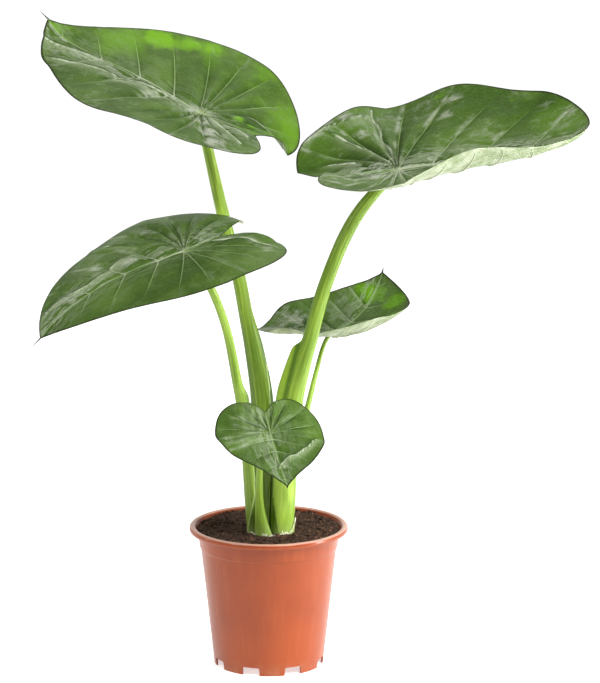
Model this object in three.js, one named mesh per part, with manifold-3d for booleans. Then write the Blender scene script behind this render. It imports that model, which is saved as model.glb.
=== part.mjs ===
// Potted alocasia: a large-leaved house plant in a 19 cm plastic nursery pot.
//
// Millimetres, +Z up. The origin is on the table, in the middle of the pot's underside, and the
// front of the plant looks along -Y. Every leaf is built from the same rule: a heart-shaped flat
// outline, split into rows that follow the side veins, is bent along its midrib and folded and
// cupped on either side of it. Leaves differ only in the sizes and angles listed in LEAVES.

import * as THREE from 'three';
import { mergeVertices } from 'three/addons/utils/BufferGeometryUtils.js';
import Module from 'manifold-3d';

const wasm = await Module();
wasm.setup();

// ---------------------------------------------------------------- driving dimensions

const GAP = 0.3; // clearance between pieces that touch

const POT = {
  height: 170,
  rimRadius: 95, // outside of the rolled rim
  mouthRadius: 87.6, // inside edge of the rolled rim
  rimDepth: 6.5,
  collarTopRadius: 85,
  collarBottomRadius: 82.8,
  collarHeight: 20,
  collarStep: 1.4, // how far the wall steps in under the collar
  footRadius: 65.5,
  wall: 2,
  floorHeight: 11, // underside of the raised floor
  floorThickness: 2.5,
  padRadius: 18, // dimple in the middle of the floor, which reaches the table
  notches: 8,
  notchWidth: 21,
  notchHeight: 10,
  notchTurn: -18.6, // first notch, measured from the front towards +X
  drainHoles: 8,
  drainRadius: 4.5,
  drainCircle: 48,
  sides: 40,
};

const SOIL = {
  level: 164.5, // surface next to the pot wall
  hollow: 2, // how much lower it lies round the stems
  bumps: 0.9,
  rings: [33, 50, 66, 76],
  sides: 30,
};

// The crown is the short thick stem in the soil. Its foot is buried, and the torn ends of old leaf
// sheaths stand round the stalks like a low paper collar.
const CROWN = {
  centre: [2, -8],
  halfWidth: 28.5,
  halfDepth: 26.5,
  bottom: 112,
  seat: 157, // the face that the stalks grow from
  collar: 1.2, // thickness of the torn sheaths
  collarTop: 168.5,
  teeth: 18,
};

// A blade is thin, with side veins that stand out below and a midrib that is thickest at the stalk.
const BLADE = {
  thickness: 0.8,
  pleat: 0.009, // height of the swell between two side veins, as a share of the half width
  veinRib: 0.5,
  midrib: 2.4,
  veinArch: -0.06, // how far side veins curve, as a share of their length; negative is backwards
  hubShare: 0.75, // share of the rows ahead of the widest place that start along the midrib
  crowding: 1.2, // above 1, side veins start closer together near the hub
  columns: [0, 0.05, 0.24, 0.45, 0.66, 0.85, 1],
  bendSteps: 12,
  seatClearance: 0.9, // shapes the stalk's top, and leaves about 0.3 mm where ribs stand out
};

// Lengths in mm, angles in degrees. hub: where the stalk meets the blade. heading, rise and tilt
// turn the whole blade. tip, half, lobe and notch size its outline, measured from the hub: length to
// the tip, half width, length of the back lobes and distance to the notch between them. tail is the
// length of the thin drip tip, and tailSlope is its angle to the end of the blade. arch and archEnd
// bend the midrib down towards the tip, and curl turns its last part up again. lobeArch bends the
// back lobes down. sweep bends the blade sideways, hook does so near the tip, and twist turns it
// about its midrib. Each dent is a soft hollow or swelling: its place on the flat leaf, its size and
// its height. The first dent is the funnel over the stalk. Each side has its own fold (slope next to
// the midrib) and cup (how that slope changes towards the margin), both with a part that grows
// towards the tip, droop of the back lobe, fullness near the tip, and margin wave.
const LEAVES = {
  a: {
    hub: [-78, 45, 668], heading: 155, rise: 24, tilt: 6,
    tip: 230, half: 141, lobe: 105, notch: 76, tail: 15, tailSlope: -25, rows: [12, 6, 4],
    arch: 17, archEnd: -20, curl: 35, lobeArch: -9, sweep: -1, hook: -1, twist: -5,
    dents: [[0, 0, 69, -8], [205, 40, 20, -9]], waveLength: 140,
    left: { fold: -16, foldEnd: -15, cup: 21, cupEnd: -5, droop: 0, full: 0.15, wave: 1.5, phase: 0 },
    right: { fold: 16, foldEnd: 10, cup: 10, cupEnd: -11, droop: 0.65, full: 0.15, wave: 0.5, phase: 85 },
  },
  b: {
    hub: [153, 0, 603], heading: 2, rise: 8, tilt: 24,
    tip: 239, half: 150, lobe: 106, notch: 75, tail: 5, tailSlope: 0, rows: [12, 6, 4],
    arch: -2, archEnd: -41, curl: 13, lobeArch: -20, sweep: -25, hook: -11, twist: -6,
    dents: [[0, 0, 72, -2], [-92, 30, 44, -23], [-88, -22, 25, 11]], waveLength: 115,
    left: { fold: -4, foldEnd: 6, cup: 1, cupEnd: 47, droop: 0.5, full: 0.5, wave: 6.5, phase: -135 },
    right: { fold: 11, foldEnd: 2, cup: 32, cupEnd: 58, droop: -0.1, full: 0.35, wave: 1.5, phase: 100 },
  },
  c: {
    hub: [-97, -95, 527], heading: 204, rise: -16, tilt: -21,
    tip: 201, half: 120, lobe: 102, notch: 49, tail: 15, tailSlope: 10, rows: [12, 6, 4],
    arch: 17, archEnd: 23, curl: 4, lobeArch: 8, sweep: -1, hook: 7, twist: -4,
    dents: [[0, 0, 60, -6]], waveLength: 125,
    left: { fold: 15, foldEnd: -2, cup: -9, cupEnd: 22, droop: 0.3, full: 0.1, wave: 1.5, phase: 120 },
    right: { fold: -5, foldEnd: 1, cup: -22, cupEnd: -23, droop: 0.35, full: 0.3, wave: 1.5, phase: 10 },
  },
  d: {
    hub: [74, 95, 386], heading: 54, rise: 0, tilt: -6,
    tip: 155, half: 90, lobe: 83, notch: 33, tail: 8, tailSlope: 0, rows: [10, 5, 3],
    arch: -29, archEnd: -20, curl: -3, lobeArch: -39, sweep: 15, hook: -3, twist: 7,
    dents: [[0, 0, 46, -3]], waveLength: 115,
    left: { fold: 5, foldEnd: 27, cup: 8, cupEnd: -3, droop: 0.45, full: 0, wave: 6, phase: -5 },
    right: { fold: -11, foldEnd: 3, cup: 49, cupEnd: 10, droop: 0.5, full: 0.25, wave: 0.5, phase: -130 },
  },
  e: {
    hub: [3, -93, 306], heading: -78, rise: -28, tilt: 8,
    tip: 106, half: 65, lobe: 53, notch: 34, tail: 3, tailSlope: 0, rows: [10, 5, 3],
    arch: -15, archEnd: 8, curl: -2, lobeArch: -21, sweep: 1, hook: 1, twist: -1,
    dents: [[0, 0, 32, -3]], waveLength: 55,
    left: { fold: -11, foldEnd: 11, cup: -8, cupEnd: 15, droop: 0.25, full: 0, wave: 2, phase: -135 },
    right: { fold: 6, foldEnd: 19, cup: 1, cupEnd: -18, droop: 0.25, full: 0, wave: 2.5, phase: -30 },
  },
};

// A stalk is a list of stations from its foot to the blade. Each gives the stalk's centre, its half
// width along X and half depth along Y, and how far the sheath's left and right wings stand out.
const STALKS = {
  a: [
    { at: [-4, 3, 157.3], half: [13, 13], wings: [0, 0] },
    { at: [-5, 4, 235], half: [12.5, 12.5], wings: [0, 2] },
    { at: [-9, 8, 325], half: [9.5, 10], wings: [3, 5] },
    { at: [-19, 14, 385], half: [8.6, 8.6], wings: [1, 4] },
    { at: [-27, 19, 424], half: [8.2, 8.2], wings: [0, 0] },
    { at: [-35, 26, 466], half: [8, 8], wings: [0, 0] },
    { at: [-54, 37, 541], half: [7.5, 7.5], wings: [0, 0] },
    { at: [-72, 43, 621], half: [6.2, 6.2], wings: [0, 0] },
    { at: [-79, 45, 652], half: [5.6, 5.6], wings: [0, 0] },
    { at: [-82, 46, 666], half: [5.4, 5.4], wings: [0, 0] },
  ],
  b: [
    { at: [15.5, -11, 157.3], half: [13, 13.5], wings: [0, 0] },
    { at: [18, -12, 205], half: [14.5, 14], wings: [0, 0] },
    { at: [22, -13, 265], half: [13, 13], wings: [4, 0] },
    { at: [31.5, -14, 330], half: [10.5, 11], wings: [12, 0] },
    { at: [40, -13, 366], half: [9.6, 9.6], wings: [10, 0] },
    { at: [45.5, -12, 386], half: [9.2, 9.2], wings: [8, 0] },
    { at: [48.5, -12, 396], half: [9, 9], wings: [0, 0] },
    { at: [65, -8, 457], half: [8.2, 8.2], wings: [0, 0] },
    { at: [91, -5, 523], half: [8, 8], wings: [0, 0] },
    { at: [110, -3, 555], half: [7.6, 7.6], wings: [0, 0] },
    { at: [132, -1, 581], half: [6.6, 6.6], wings: [0, 0] },
    { at: [148, 0, 597], half: [6, 6], wings: [0, 0] },
    { at: [157, 0, 605], half: [5.6, 5.6], wings: [0, 0] },
  ],
  c: [
    { at: [-15.5, -12, 157.3], half: [8.5, 11], wings: [0, 0] },
    { at: [-20, -14, 204], half: [8.4, 9.5], wings: [0, 0] },
    { at: [-26, -20, 285], half: [7.2, 8], wings: [0, 2] },
    { at: [-33, -30, 333], half: [6.2, 6.6], wings: [0, 4] },
    { at: [-36, -35, 350], half: [5.9, 6], wings: [0, 0] },
    { at: [-49, -60, 424], half: [5, 5], wings: [0, 0] },
    { at: [-66, -82, 476], half: [4.7, 4.7], wings: [0, 0] },
    { at: [-84, -92, 508], half: [4.4, 4.4], wings: [0, 0] },
    { at: [-97, -95.5, 525], half: [4.2, 4.2], wings: [0, 0] },
  ],
  d: [
    { at: [13.5, 5, 157.3], half: [6.5, 6.5], wings: [0, 0] },
    { at: [24, 16, 225], half: [6, 6], wings: [0, 0] },
    { at: [46, 40, 302], half: [3.4, 3.4], wings: [0, 0] },
    { at: [57, 61, 343], half: [2.8, 2.8], wings: [0, 0] },
    { at: [67, 84, 373], half: [2.5, 2.5], wings: [0, 0] },
    { at: [76, 95.5, 386], half: [2.4, 2.4], wings: [0, 0] },
  ],
  e: [
    { at: [-5, -24, 157.3], half: [11, 7], wings: [0, 0] },
    { at: [-8.5, -28, 180], half: [7.5, 6.5], wings: [0, 0] },
    { at: [-10.5, -33, 204], half: [5, 5], wings: [0, 0] },
    { at: [-10, -50, 252], half: [4.1, 4.1], wings: [0, 0] },
    { at: [-4, -73, 289], half: [3.5, 3.5], wings: [0, 0] },
    { at: [3, -92, 307], half: [3.2, 3.2], wings: [0, 0] },
  ],
};

// Front stalks keep their full shape, and each later one is cut back where it would meet them.
const STALK_ORDER = ['e', 'b', 'c', 'a', 'd'];
const STALK_SIDES = 12;
const STALK_RINGS = 20;

const MATERIALS = {
  pot: { color: 0xb9643f, roughness: 0.35, metalness: 0 },
  soil: { color: 0x3d2a22, roughness: 1, metalness: 0 },
  crown: { color: 0xb9c489, roughness: 0.7, metalness: 0 },
  stalk: { color: 0x86b83c, roughness: 0.4, metalness: 0 },
  blade: { color: 0x4a7a31, roughness: 0.35, metalness: 0 },
};

// ---------------------------------------------------------------- helpers

const rad = THREE.MathUtils.degToRad;

function randomSource(seed) {
  let state = seed;
  return () => {
    state = (state * 1664525 + 1013904223) % 4294967296;
    return state / 4294967296;
  };
}

// A closed mesh, given as points and triangles, as a solid that can be joined and cut.
function solidFromGeometry(geometry) {
  const bare = geometry.clone();
  for (const name of Object.keys(bare.attributes)) {
    if (name !== 'position') bare.deleteAttribute(name);
  }
  const merged = mergeVertices(bare, 1e-4);
  const index = merged.index.array;
  const triangles = [];
  for (let i = 0; i < index.length; i += 3) {
    const [a, b, c] = [index[i], index[i + 1], index[i + 2]];
    if (a !== b && b !== c && c !== a) triangles.push(a, b, c);
  }
  const mesh = new wasm.Mesh({
    numProp: 3,
    vertProperties: new Float32Array(merged.attributes.position.array),
    triVerts: new Uint32Array(triangles),
  });
  return new wasm.Manifold(mesh);
}

function geometryFromPoints(points, triangles) {
  const geometry = new THREE.BufferGeometry();
  const flat = points.flatMap((p) => [p.x, p.y, p.z]);
  geometry.setAttribute('position', new THREE.Float32BufferAttribute(flat, 3));
  geometry.setIndex(triangles);
  return geometry;
}

function largestBody(solid) {
  const bodies = solid.decompose();
  return bodies.reduce((best, body) => (body.volume() > best.volume() ? body : best));
}

function meshFromSolid(name, solid, material) {
  const { vertProperties, triVerts } = solid.getMesh();
  const geometry = new THREE.BufferGeometry();
  geometry.setAttribute('position', new THREE.Float32BufferAttribute(vertProperties, 3));
  geometry.setIndex([...triVerts]);
  geometry.computeVertexNormals();
  const mesh = new THREE.Mesh(geometry, new THREE.MeshStandardMaterial(MATERIALS[material]));
  mesh.name = name;
  return mesh;
}

// Closed rings of points, one above the other, joined into a closed body with flat ends.
function loft(rings) {
  const sides = rings[0].length;
  const points = rings.flat();
  const first = points.push(centreOf(rings[0])) - 1;
  const last = points.push(centreOf(rings.at(-1))) - 1;
  const top = (rings.length - 1) * sides;
  const triangles = [];
  for (let k = 0; k < sides; k++) {
    const next = (k + 1) % sides;
    triangles.push(first, next, k, last, top + k, top + next);
    for (let r = 0; r < rings.length - 1; r++) {
      const lower = r * sides;
      const upper = lower + sides;
      triangles.push(lower + k, lower + next, upper + next);
      triangles.push(lower + k, upper + next, upper + k);
    }
  }
  return geometryFromPoints(points, triangles);
}

function centreOf(ring) {
  const sum = ring.reduce((total, p) => total.add(p), new THREE.Vector3());
  return sum.divideScalar(ring.length);
}

// A body of revolution about Z from a profile of [radius, height] pairs.
function turned(profile, sides) {
  const points = profile.map(([r, z]) => new THREE.Vector2(r, z));
  const geometry = new THREE.LatheGeometry(points, sides);
  geometry.rotateX(Math.PI / 2);
  return geometry;
}

// ---------------------------------------------------------------- pot

// Radius of the outside of the wall at a height, between the foot and the collar's step.
function wallRadius(z) {
  const stepHeight = POT.height - POT.rimDepth - POT.collarHeight;
  const top = POT.collarBottomRadius - POT.collarStep;
  return THREE.MathUtils.mapLinear(z, 0, stepHeight, POT.footRadius, top);
}

function makePot() {
  const p = POT;
  const underRim = p.height - p.rimDepth;
  const step = underRim - p.collarHeight;
  const floorTop = p.floorHeight + p.floorThickness;
  const inside = (z) => wallRadius(z) - p.wall;
  const profile = [
    [0, 0], [p.padRadius, 0], [p.padRadius + 2, p.floorHeight], // pad and floor, from below
    [inside(p.floorHeight) - 1, p.floorHeight], [inside(0), 0], // inside of the foot skirt
    [p.footRadius, 0], [wallRadius(step), step], // wall
    [p.collarBottomRadius, step + 1.5], [p.collarTopRadius, underRim], // collar
    [p.rimRadius - 1.2, underRim], [p.rimRadius, underRim + 1.6], // rolled rim
    [p.rimRadius - 0.4, p.height - 1.6], [p.rimRadius - 2.4, p.height],
    [p.mouthRadius + 2, p.height], [p.mouthRadius, p.height - 1.4],
    [p.collarTopRadius - p.wall, underRim - 1.5], // inside of the collar and wall
    [p.collarBottomRadius - p.wall, step + 1.5], [inside(step), step],
    [inside(floorTop) - 1, floorTop], // floor, from above
    [p.padRadius - 0.3, floorTop], [p.padRadius - 2.3, p.floorThickness], [0, p.floorThickness],
  ];
  let pot = solidFromGeometry(turned(profile, p.sides));
  for (let k = 0; k < p.notches; k++) {
    const notch = new THREE.BoxGeometry(p.notchWidth, 12, 2 * p.notchHeight);
    notch.translate(0, -p.footRadius, 0);
    notch.rotateZ(rad(p.notchTurn + (k * 360) / p.notches));
    pot = pot.subtract(solidFromGeometry(notch));
  }
  for (let k = 0; k < p.drainHoles; k++) {
    const hole = new THREE.CylinderGeometry(p.drainRadius, p.drainRadius, 12, 12);
    hole.rotateX(Math.PI / 2);
    hole.translate(0, -p.drainCircle, p.floorHeight);
    hole.rotateZ(rad(p.notchTurn + ((k + 0.5) * 360) / p.drainHoles));
    pot = pot.subtract(solidFromGeometry(hole));
  }
  return largestBody(pot);
}

// ---------------------------------------------------------------- crown and soil

// An oval ring of points round the crown's centre.
function ovalRing(halfWidth, halfDepth, heightAt, sides) {
  return Array.from({ length: sides }, (_, k) => {
    const turn = (2 * Math.PI * k) / sides;
    const x = CROWN.centre[0] + halfWidth * Math.cos(turn);
    const y = CROWN.centre[1] + halfDepth * Math.sin(turn);
    return new THREE.Vector3(x, y, heightAt(turn, k));
  });
}

// The crown's outside, grown by a clearance, from its buried foot up to a flat top.
function crownHull(clearance, top) {
  const shape = [[0.45, 0], [0.8, 0.12], [0.96, 0.4], [1, 0.75], [1, 1], [1, 1]];
  const rings = shape.map(([share, up], k) => {
    const atTop = k === shape.length - 1;
    const z = atTop ? top : THREE.MathUtils.lerp(CROWN.bottom - clearance, CROWN.seat - 2, up);
    const halfWidth = CROWN.halfWidth * share + clearance;
    const halfDepth = CROWN.halfDepth * share + clearance;
    return ovalRing(halfWidth, halfDepth, () => z, 2 * CROWN.teeth);
  });
  return solidFromGeometry(loft(rings));
}

// The crown with its torn collar, which stands higher on the right. A clearance makes it fatter,
// for cutting the stalks.
function makeCrown(clearance = 0) {
  const random = randomSource(7);
  const tears = Array.from({ length: 2 * CROWN.teeth }, () => random());
  const topAt = (turn, k) => {
    const side = 2.2 + 2.2 * Math.cos(turn + 0.3);
    const tooth = (k % 2 ? 2.6 : 0) * (0.3 + tears[k]);
    return CROWN.collarTop + side + tooth + clearance;
  };
  const inner = CROWN.collar + clearance;
  const { halfWidth, halfDepth, seat, teeth } = CROWN;
  const sides = 2 * teeth;
  const outline = (grow, heightAt) => {
    return ovalRing(halfWidth + grow, halfDepth + grow, heightAt, sides);
  };
  const outside = solidFromGeometry(loft([
    outline(clearance, () => seat - 12),
    outline(clearance, () => seat),
    outline(clearance, topAt),
  ]));
  const hollow = solidFromGeometry(loft([
    outline(-inner, () => seat + clearance),
    outline(-inner, () => seat + 40),
  ]));
  return crownHull(clearance, seat).add(outside).subtract(hollow);
}

function makeSoil() {
  const random = randomSource(3);
  const floorTop = POT.floorHeight + POT.floorThickness + GAP;
  const wallInside = (z) => wallRadius(z) - POT.wall - GAP;
  const step = POT.height - POT.rimDepth - POT.collarHeight;
  const ringAt = (radius, heightAt) => {
    return Array.from({ length: SOIL.sides }, (_, k) => {
      const turn = (2 * Math.PI * k) / SOIL.sides;
      return new THREE.Vector3(radius * Math.cos(turn), radius * Math.sin(turn), heightAt());
    });
  };
  const flat = (radius, z) => ringAt(radius, () => z);
  const surface = (radius) => {
    const dip = SOIL.hollow * (1 - radius / POT.mouthRadius);
    return SOIL.level - dip;
  };
  const rings = [
    flat(POT.padRadius - 2.9, POT.floorThickness + GAP),
    flat(POT.padRadius - 1, floorTop),
    flat(wallInside(floorTop) - 1.4, floorTop),
    flat(wallInside(step) - 0.2, step),
    flat(POT.collarBottomRadius - POT.wall - 0.5, step + 2),
    flat(POT.collarTopRadius - POT.wall - 0.8, SOIL.level - 4),
    flat(POT.collarTopRadius - POT.wall - 1.6, SOIL.level - 0.6),
  ];
  for (const radius of [...SOIL.rings].reverse()) {
    rings.push(ringAt(radius, () => surface(radius) + SOIL.bumps * (2 * random() - 1)));
  }
  const hole = crownHull(GAP, POT.height + 10);
  return largestBody(solidFromGeometry(loft(rings)).subtract(hole));
}

// ---------------------------------------------------------------- stalks

// Stations in between, by a smooth curve through the given ones.
function stalkStations(stations) {
  const curve = new THREE.CatmullRomCurve3(
    stations.map((s) => new THREE.Vector3(...s.at)), false, 'centripetal');
  const count = stations.length - 1;
  return Array.from({ length: STALK_RINGS + 1 }, (_, i) => {
    const place = (i / STALK_RINGS) * count;
    const k = Math.min(Math.floor(place), count - 1);
    const between = (key, n) => {
      return THREE.MathUtils.lerp(stations[k][key][n], stations[k + 1][key][n], place - k);
    };
    return {
      centre: curve.getPoint(place / count),
      along: curve.getTangent(place / count),
      half: [between('half', 0), between('half', 1)],
      wings: [between('wings', 0), between('wings', 1)],
    };
  });
}

// A stalk as a loft. Its section is an oval, with a wing of the sheath on the left and the right.
function makeStalk(stations, clearance = 0) {
  const rings = stalkStations(stations).map(({ centre, along, half, wings }) => {
    const across = new THREE.Vector3(1, 0, 0);
    across.addScaledVector(along, -across.dot(along)).normalize();
    const back = new THREE.Vector3().crossVectors(along, across);
    return Array.from({ length: STALK_SIDES }, (_, k) => {
      const turn = (2 * Math.PI * k) / STALK_SIDES;
      const [cos, sin] = [Math.cos(turn), Math.sin(turn)];
      const wing = cos > 0 ? wings[1] : wings[0];
      const sideways = cos * (half[0] + clearance + wing * Math.abs(cos) ** 5);
      const depth = sin * (half[1] + clearance);
      return centre.clone().addScaledVector(across, sideways).addScaledVector(back, depth);
    });
  });
  if (clearance > 0) {
    rings[0].forEach((point) => { point.z -= 1; });
  }
  return solidFromGeometry(loft(rings));
}

// ---------------------------------------------------------------- blades

function bezier(p0, p1, p2, p3, t) {
  const s = 1 - t;
  const mix = (k) => {
    return s ** 3 * p0[k] + 3 * s * s * t * p1[k] + 3 * s * t * t * p2[k] + t ** 3 * p3[k];
  };
  return [mix(0), mix(1)];
}

// Half of the flat outline, from the drip tip round the back lobe to the notch.
function halfOutline(leaf, full) {
  const { tip, half, lobe, notch, tail, rows } = leaf;
  const widest = -0.02 * tip;
  const lobeEnd = 0.45 * half;
  const spans = [
    [[tip, 0], [(0.74 + 0.2 * full) * tip, (0.3 + full) * half],
      [widest + 0.42 * tip, half], [widest, half]],
    [[widest, half], [widest - 0.33 * lobe, half],
      [-lobe, lobeEnd + 0.36 * half], [-lobe, lobeEnd]],
    [[-lobe, lobeEnd], [-lobe, lobeEnd - 0.24 * half],
      [-notch - 0.3 * (lobe - notch), 0.1 * half], [-notch, 0]],
  ];
  const outline = [[tip + tail, 0], [tip, 1.1]];
  spans.forEach((span, s) => {
    for (let i = 1; i <= rows[s]; i++) outline.push(bezier(...span, i / rows[s]));
  });
  return outline;
}

// Bends a point of the flat blade. x runs along the midrib, y out from it, lift is a small height.
function bendPoint(leaf, side, flatX, y, lift) {
  const { tip, half, lobe } = leaf;
  const edge = side > 0 ? leaf.left : leaf.right;
  const beyond = Math.max(flatX - tip, 0);
  const x = Math.min(flatX, tip);
  const ahead = x / tip;
  const headingAt = (share) => {
    const u = Math.max(ahead, 0) * share;
    return rad(leaf.sweep) * u + rad(leaf.hook) * u ** 5;
  };
  const slopeAt = (share) => {
    const u = ahead * share;
    if (x < 0) return (-rad(leaf.lobeArch) * x * share) / lobe;
    return rad(leaf.curl) * u ** 8 - rad(leaf.arch) * u - rad(leaf.archEnd) * u ** 3;
  };
  const spine = new THREE.Vector3();
  const stepLength = x / BLADE.bendSteps;
  for (let i = 0; i < BLADE.bendSteps; i++) {
    const share = (i + 0.5) / BLADE.bendSteps;
    const [slope, heading] = [slopeAt(share), headingAt(share)];
    spine.x += stepLength * Math.cos(slope) * Math.cos(heading);
    spine.y += stepLength * Math.cos(slope) * Math.sin(heading);
    spine.z += stepLength * Math.sin(slope);
  }
  const towardsTip = Math.max(ahead, 0);
  const fold = rad(edge.fold + edge.foldEnd * towardsTip);
  const cup = rad(edge.cup + edge.cupEnd * towardsTip) || 1e-4;
  const q = y / half;
  const out = (half / cup) * (Math.sin(fold + cup * q) - Math.sin(fold));
  let up = -(half / cup) * (Math.cos(fold + cup * q) - Math.cos(fold));
  const back = Math.max(-x, 0) / lobe;
  up -= edge.droop * lobe * 0.5 * back ** 2 * Math.min(1, y / (0.35 * half)) ** 2;
  const waveTurn = (2 * Math.PI * x) / leaf.waveLength + rad(edge.phase);
  up += edge.wave * Math.min(q, 1.2) ** 2 * Math.sin(waveTurn) + lift;
  for (const [cx, cy, size, rise] of leaf.dents) {
    up += rise * Math.exp(-((x - cx) ** 2 + (side * y - cy) ** 2) / size ** 2);
  }
  const [slope, heading, twist] = [slopeAt(1), headingAt(1), rad(leaf.twist) * ahead];
  const across = side * out * Math.cos(twist) - up * Math.sin(twist);
  const above = side * out * Math.sin(twist) + up * Math.cos(twist);
  spine.x += -Math.sin(heading) * across - Math.sin(slope) * Math.cos(heading) * above;
  spine.y += Math.cos(heading) * across - Math.sin(slope) * Math.sin(heading) * above;
  spine.z += Math.cos(slope) * above;
  const tailSlope = slope + rad(leaf.tailSlope);
  spine.x += beyond * Math.cos(tailSlope) * Math.cos(heading);
  spine.y += beyond * Math.cos(tailSlope) * Math.sin(heading);
  spine.z += beyond * Math.sin(tailSlope);
  return spine;
}

// The turn that carries a blade's own axes to its place on the plant.
function bladePlace(leaf) {
  const [yaw, pitch, roll] = [rad(leaf.heading), rad(leaf.rise), rad(leaf.tilt)];
  const forward = new THREE.Vector3(
    Math.cos(yaw) * Math.cos(pitch), Math.sin(yaw) * Math.cos(pitch), Math.sin(pitch));
  const level = new THREE.Vector3(-Math.sin(yaw), Math.cos(yaw), 0);
  const upright = new THREE.Vector3().crossVectors(forward, level);
  const left = level.clone().multiplyScalar(Math.cos(roll)).addScaledVector(upright, Math.sin(roll));
  const up = upright.clone().multiplyScalar(Math.cos(roll)).addScaledVector(level, -Math.sin(roll));
  return new THREE.Matrix4().makeBasis(forward, left, up).setPosition(...leaf.hub);
}

// The blade's middle surface, as points and triangles of both halves. Rows follow the side veins,
// and every second row is a vein. ribs holds how far the underside stands out at each point.
function bladeSurface(leaf) {
  const points = [];
  const ribs = [];
  const triangles = [];
  const known = new Map();
  const place = bladePlace(leaf);
  const alongMidrib = Math.round(leaf.rows[0] * BLADE.hubShare);
  const pointAt = (side, row, column, edge) => {
    const start = Math.max(0, 1 - (row - 1) / alongMidrib) ** BLADE.crowding * leaf.tip;
    const from = row === 0 ? leaf.tip + leaf.tail : start;
    const t = BLADE.columns[column];
    const reach = Math.hypot(edge[0] - from, edge[1]);
    const arch = BLADE.veinArch * Math.min(1, (1 - start / leaf.tip) * 2) * reach * t * (1 - t);
    const vein = row % 2 === 0;
    const height = BLADE.pleat * Math.min(leaf.half, reach);
    const swell = vein ? 0 : height * Math.sin(Math.PI * t);
    const x = from + (edge[0] - from) * t + arch;
    const point = bendPoint(leaf, side, x, edge[1] * t, swell).applyMatrix4(place);
    const key = [point.x, point.y, point.z].map((c) => Math.round(c * 200)).join();
    if (!known.has(key)) {
      known.set(key, points.push(point) - 1);
      const nearHub = Math.max(0, 1 - Math.abs(x) / (leaf.tip + leaf.tail));
      const midrib = column === 0 ? (BLADE.midrib * nearHub * leaf.tip) / 230 : 0;
      const sideRib = vein && column > 0 ? BLADE.veinRib * (1 - t) * nearHub : 0;
      ribs.push(midrib + sideRib);
    }
    return known.get(key);
  };
  for (const side of [1, -1]) {
    const outline = halfOutline(leaf, side > 0 ? leaf.left.full : leaf.right.full);
    const grid = outline.map((edge, row) => BLADE.columns.map((_, c) => pointAt(side, row, c, edge)));
    for (let row = 0; row < grid.length - 1; row++) {
      for (let c = 0; c < BLADE.columns.length - 1; c++) {
        const corners = [grid[row][c], grid[row + 1][c], grid[row + 1][c + 1], grid[row][c + 1]];
        if (side < 0) corners.reverse();
        for (const [i, j, k] of [[0, 1, 2], [0, 2, 3]]) {
          const triangle = [corners[i], corners[j], corners[k]];
          if (new Set(triangle).size === 3) triangles.push(triangle.reverse());
        }
      }
    }
  }
  return { points, ribs, triangles };
}

// Gives a surface its thickness: the same triangles above and below, and a strip round the margin.
function makeBlade(leaf, clearance = 0) {
  const { points, ribs, triangles } = bladeSurface(leaf);
  const normals = points.map(() => new THREE.Vector3());
  const edges = new Map();
  for (const [a, b, c] of triangles) {
    const normal = new THREE.Vector3().crossVectors(
      points[b].clone().sub(points[a]), points[c].clone().sub(points[a]));
    [a, b, c].forEach((i) => normals[i].add(normal));
    for (const [i, j] of [[a, b], [b, c], [c, a]]) edges.set(`${i},${j}`, [i, j]);
  }
  normals.forEach((normal) => normal.normalize());
  const count = points.length;
  const half = BLADE.thickness / 2;
  const upper = points.map((p, i) => p.clone().addScaledVector(normals[i], half + clearance));
  const lower = points.map((p, i) => p.clone().addScaledVector(normals[i], -half - ribs[i] - clearance));
  const faces = triangles.flatMap(([a, b, c]) => [a, b, c, count + a, count + c, count + b]);
  for (const [i, j] of edges.values()) {
    if (edges.has(`${j},${i}`)) continue;
    faces.push(j, i, count + i, j, count + i, count + j);
  }
  return solidFromGeometry(geometryFromPoints([...upper, ...lower], faces));
}

// ---------------------------------------------------------------- the plant in its pot

const plant = new THREE.Group();
plant.add(meshFromSolid('pot', makePot(), 'pot'));
plant.add(meshFromSolid('soil', makeSoil(), 'soil'));
plant.add(meshFromSolid('crown', makeCrown(), 'crown'));

// Each stalk is cut clear of the crown's collar, of the stalks in front of it and of its own blade.
const grownCrown = makeCrown(GAP);
const finished = [];
for (const name of STALK_ORDER) {
  let stalk = makeStalk(STALKS[name]).subtract(grownCrown);
  for (const other of finished) stalk = stalk.subtract(makeStalk(STALKS[other], GAP));
  stalk = largestBody(stalk.subtract(makeBlade(LEAVES[name], BLADE.seatClearance)));
  finished.push(name);
  plant.add(meshFromSolid(`stalk_${name}`, stalk, 'stalk'));
}

for (const [name, leaf] of Object.entries(LEAVES)) {
  plant.add(meshFromSolid(`blade_${name}`, makeBlade(leaf), 'blade'));
}

export default plant;
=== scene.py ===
# %% [markdown]
# # A potted alocasia
#
# This scene dresses a plain, solid model of a house plant: a large-leaved alocasia with five
# leaves, standing in a terracotta-coloured nursery pot. The solid model arrives as a fixed frame.
# Each of its parts is replaced here by a finer piece that stands in the same place.
#
# The cells can be read from top to bottom. Every piece comes with a note on what it is on the
# real plant, how it could be made, and why one way was chosen.

# %% Load the packed model
import math

import bmesh
import bpy
import numpy as np
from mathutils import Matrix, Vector, noise
from mathutils.bvhtree import BVHTree


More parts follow.
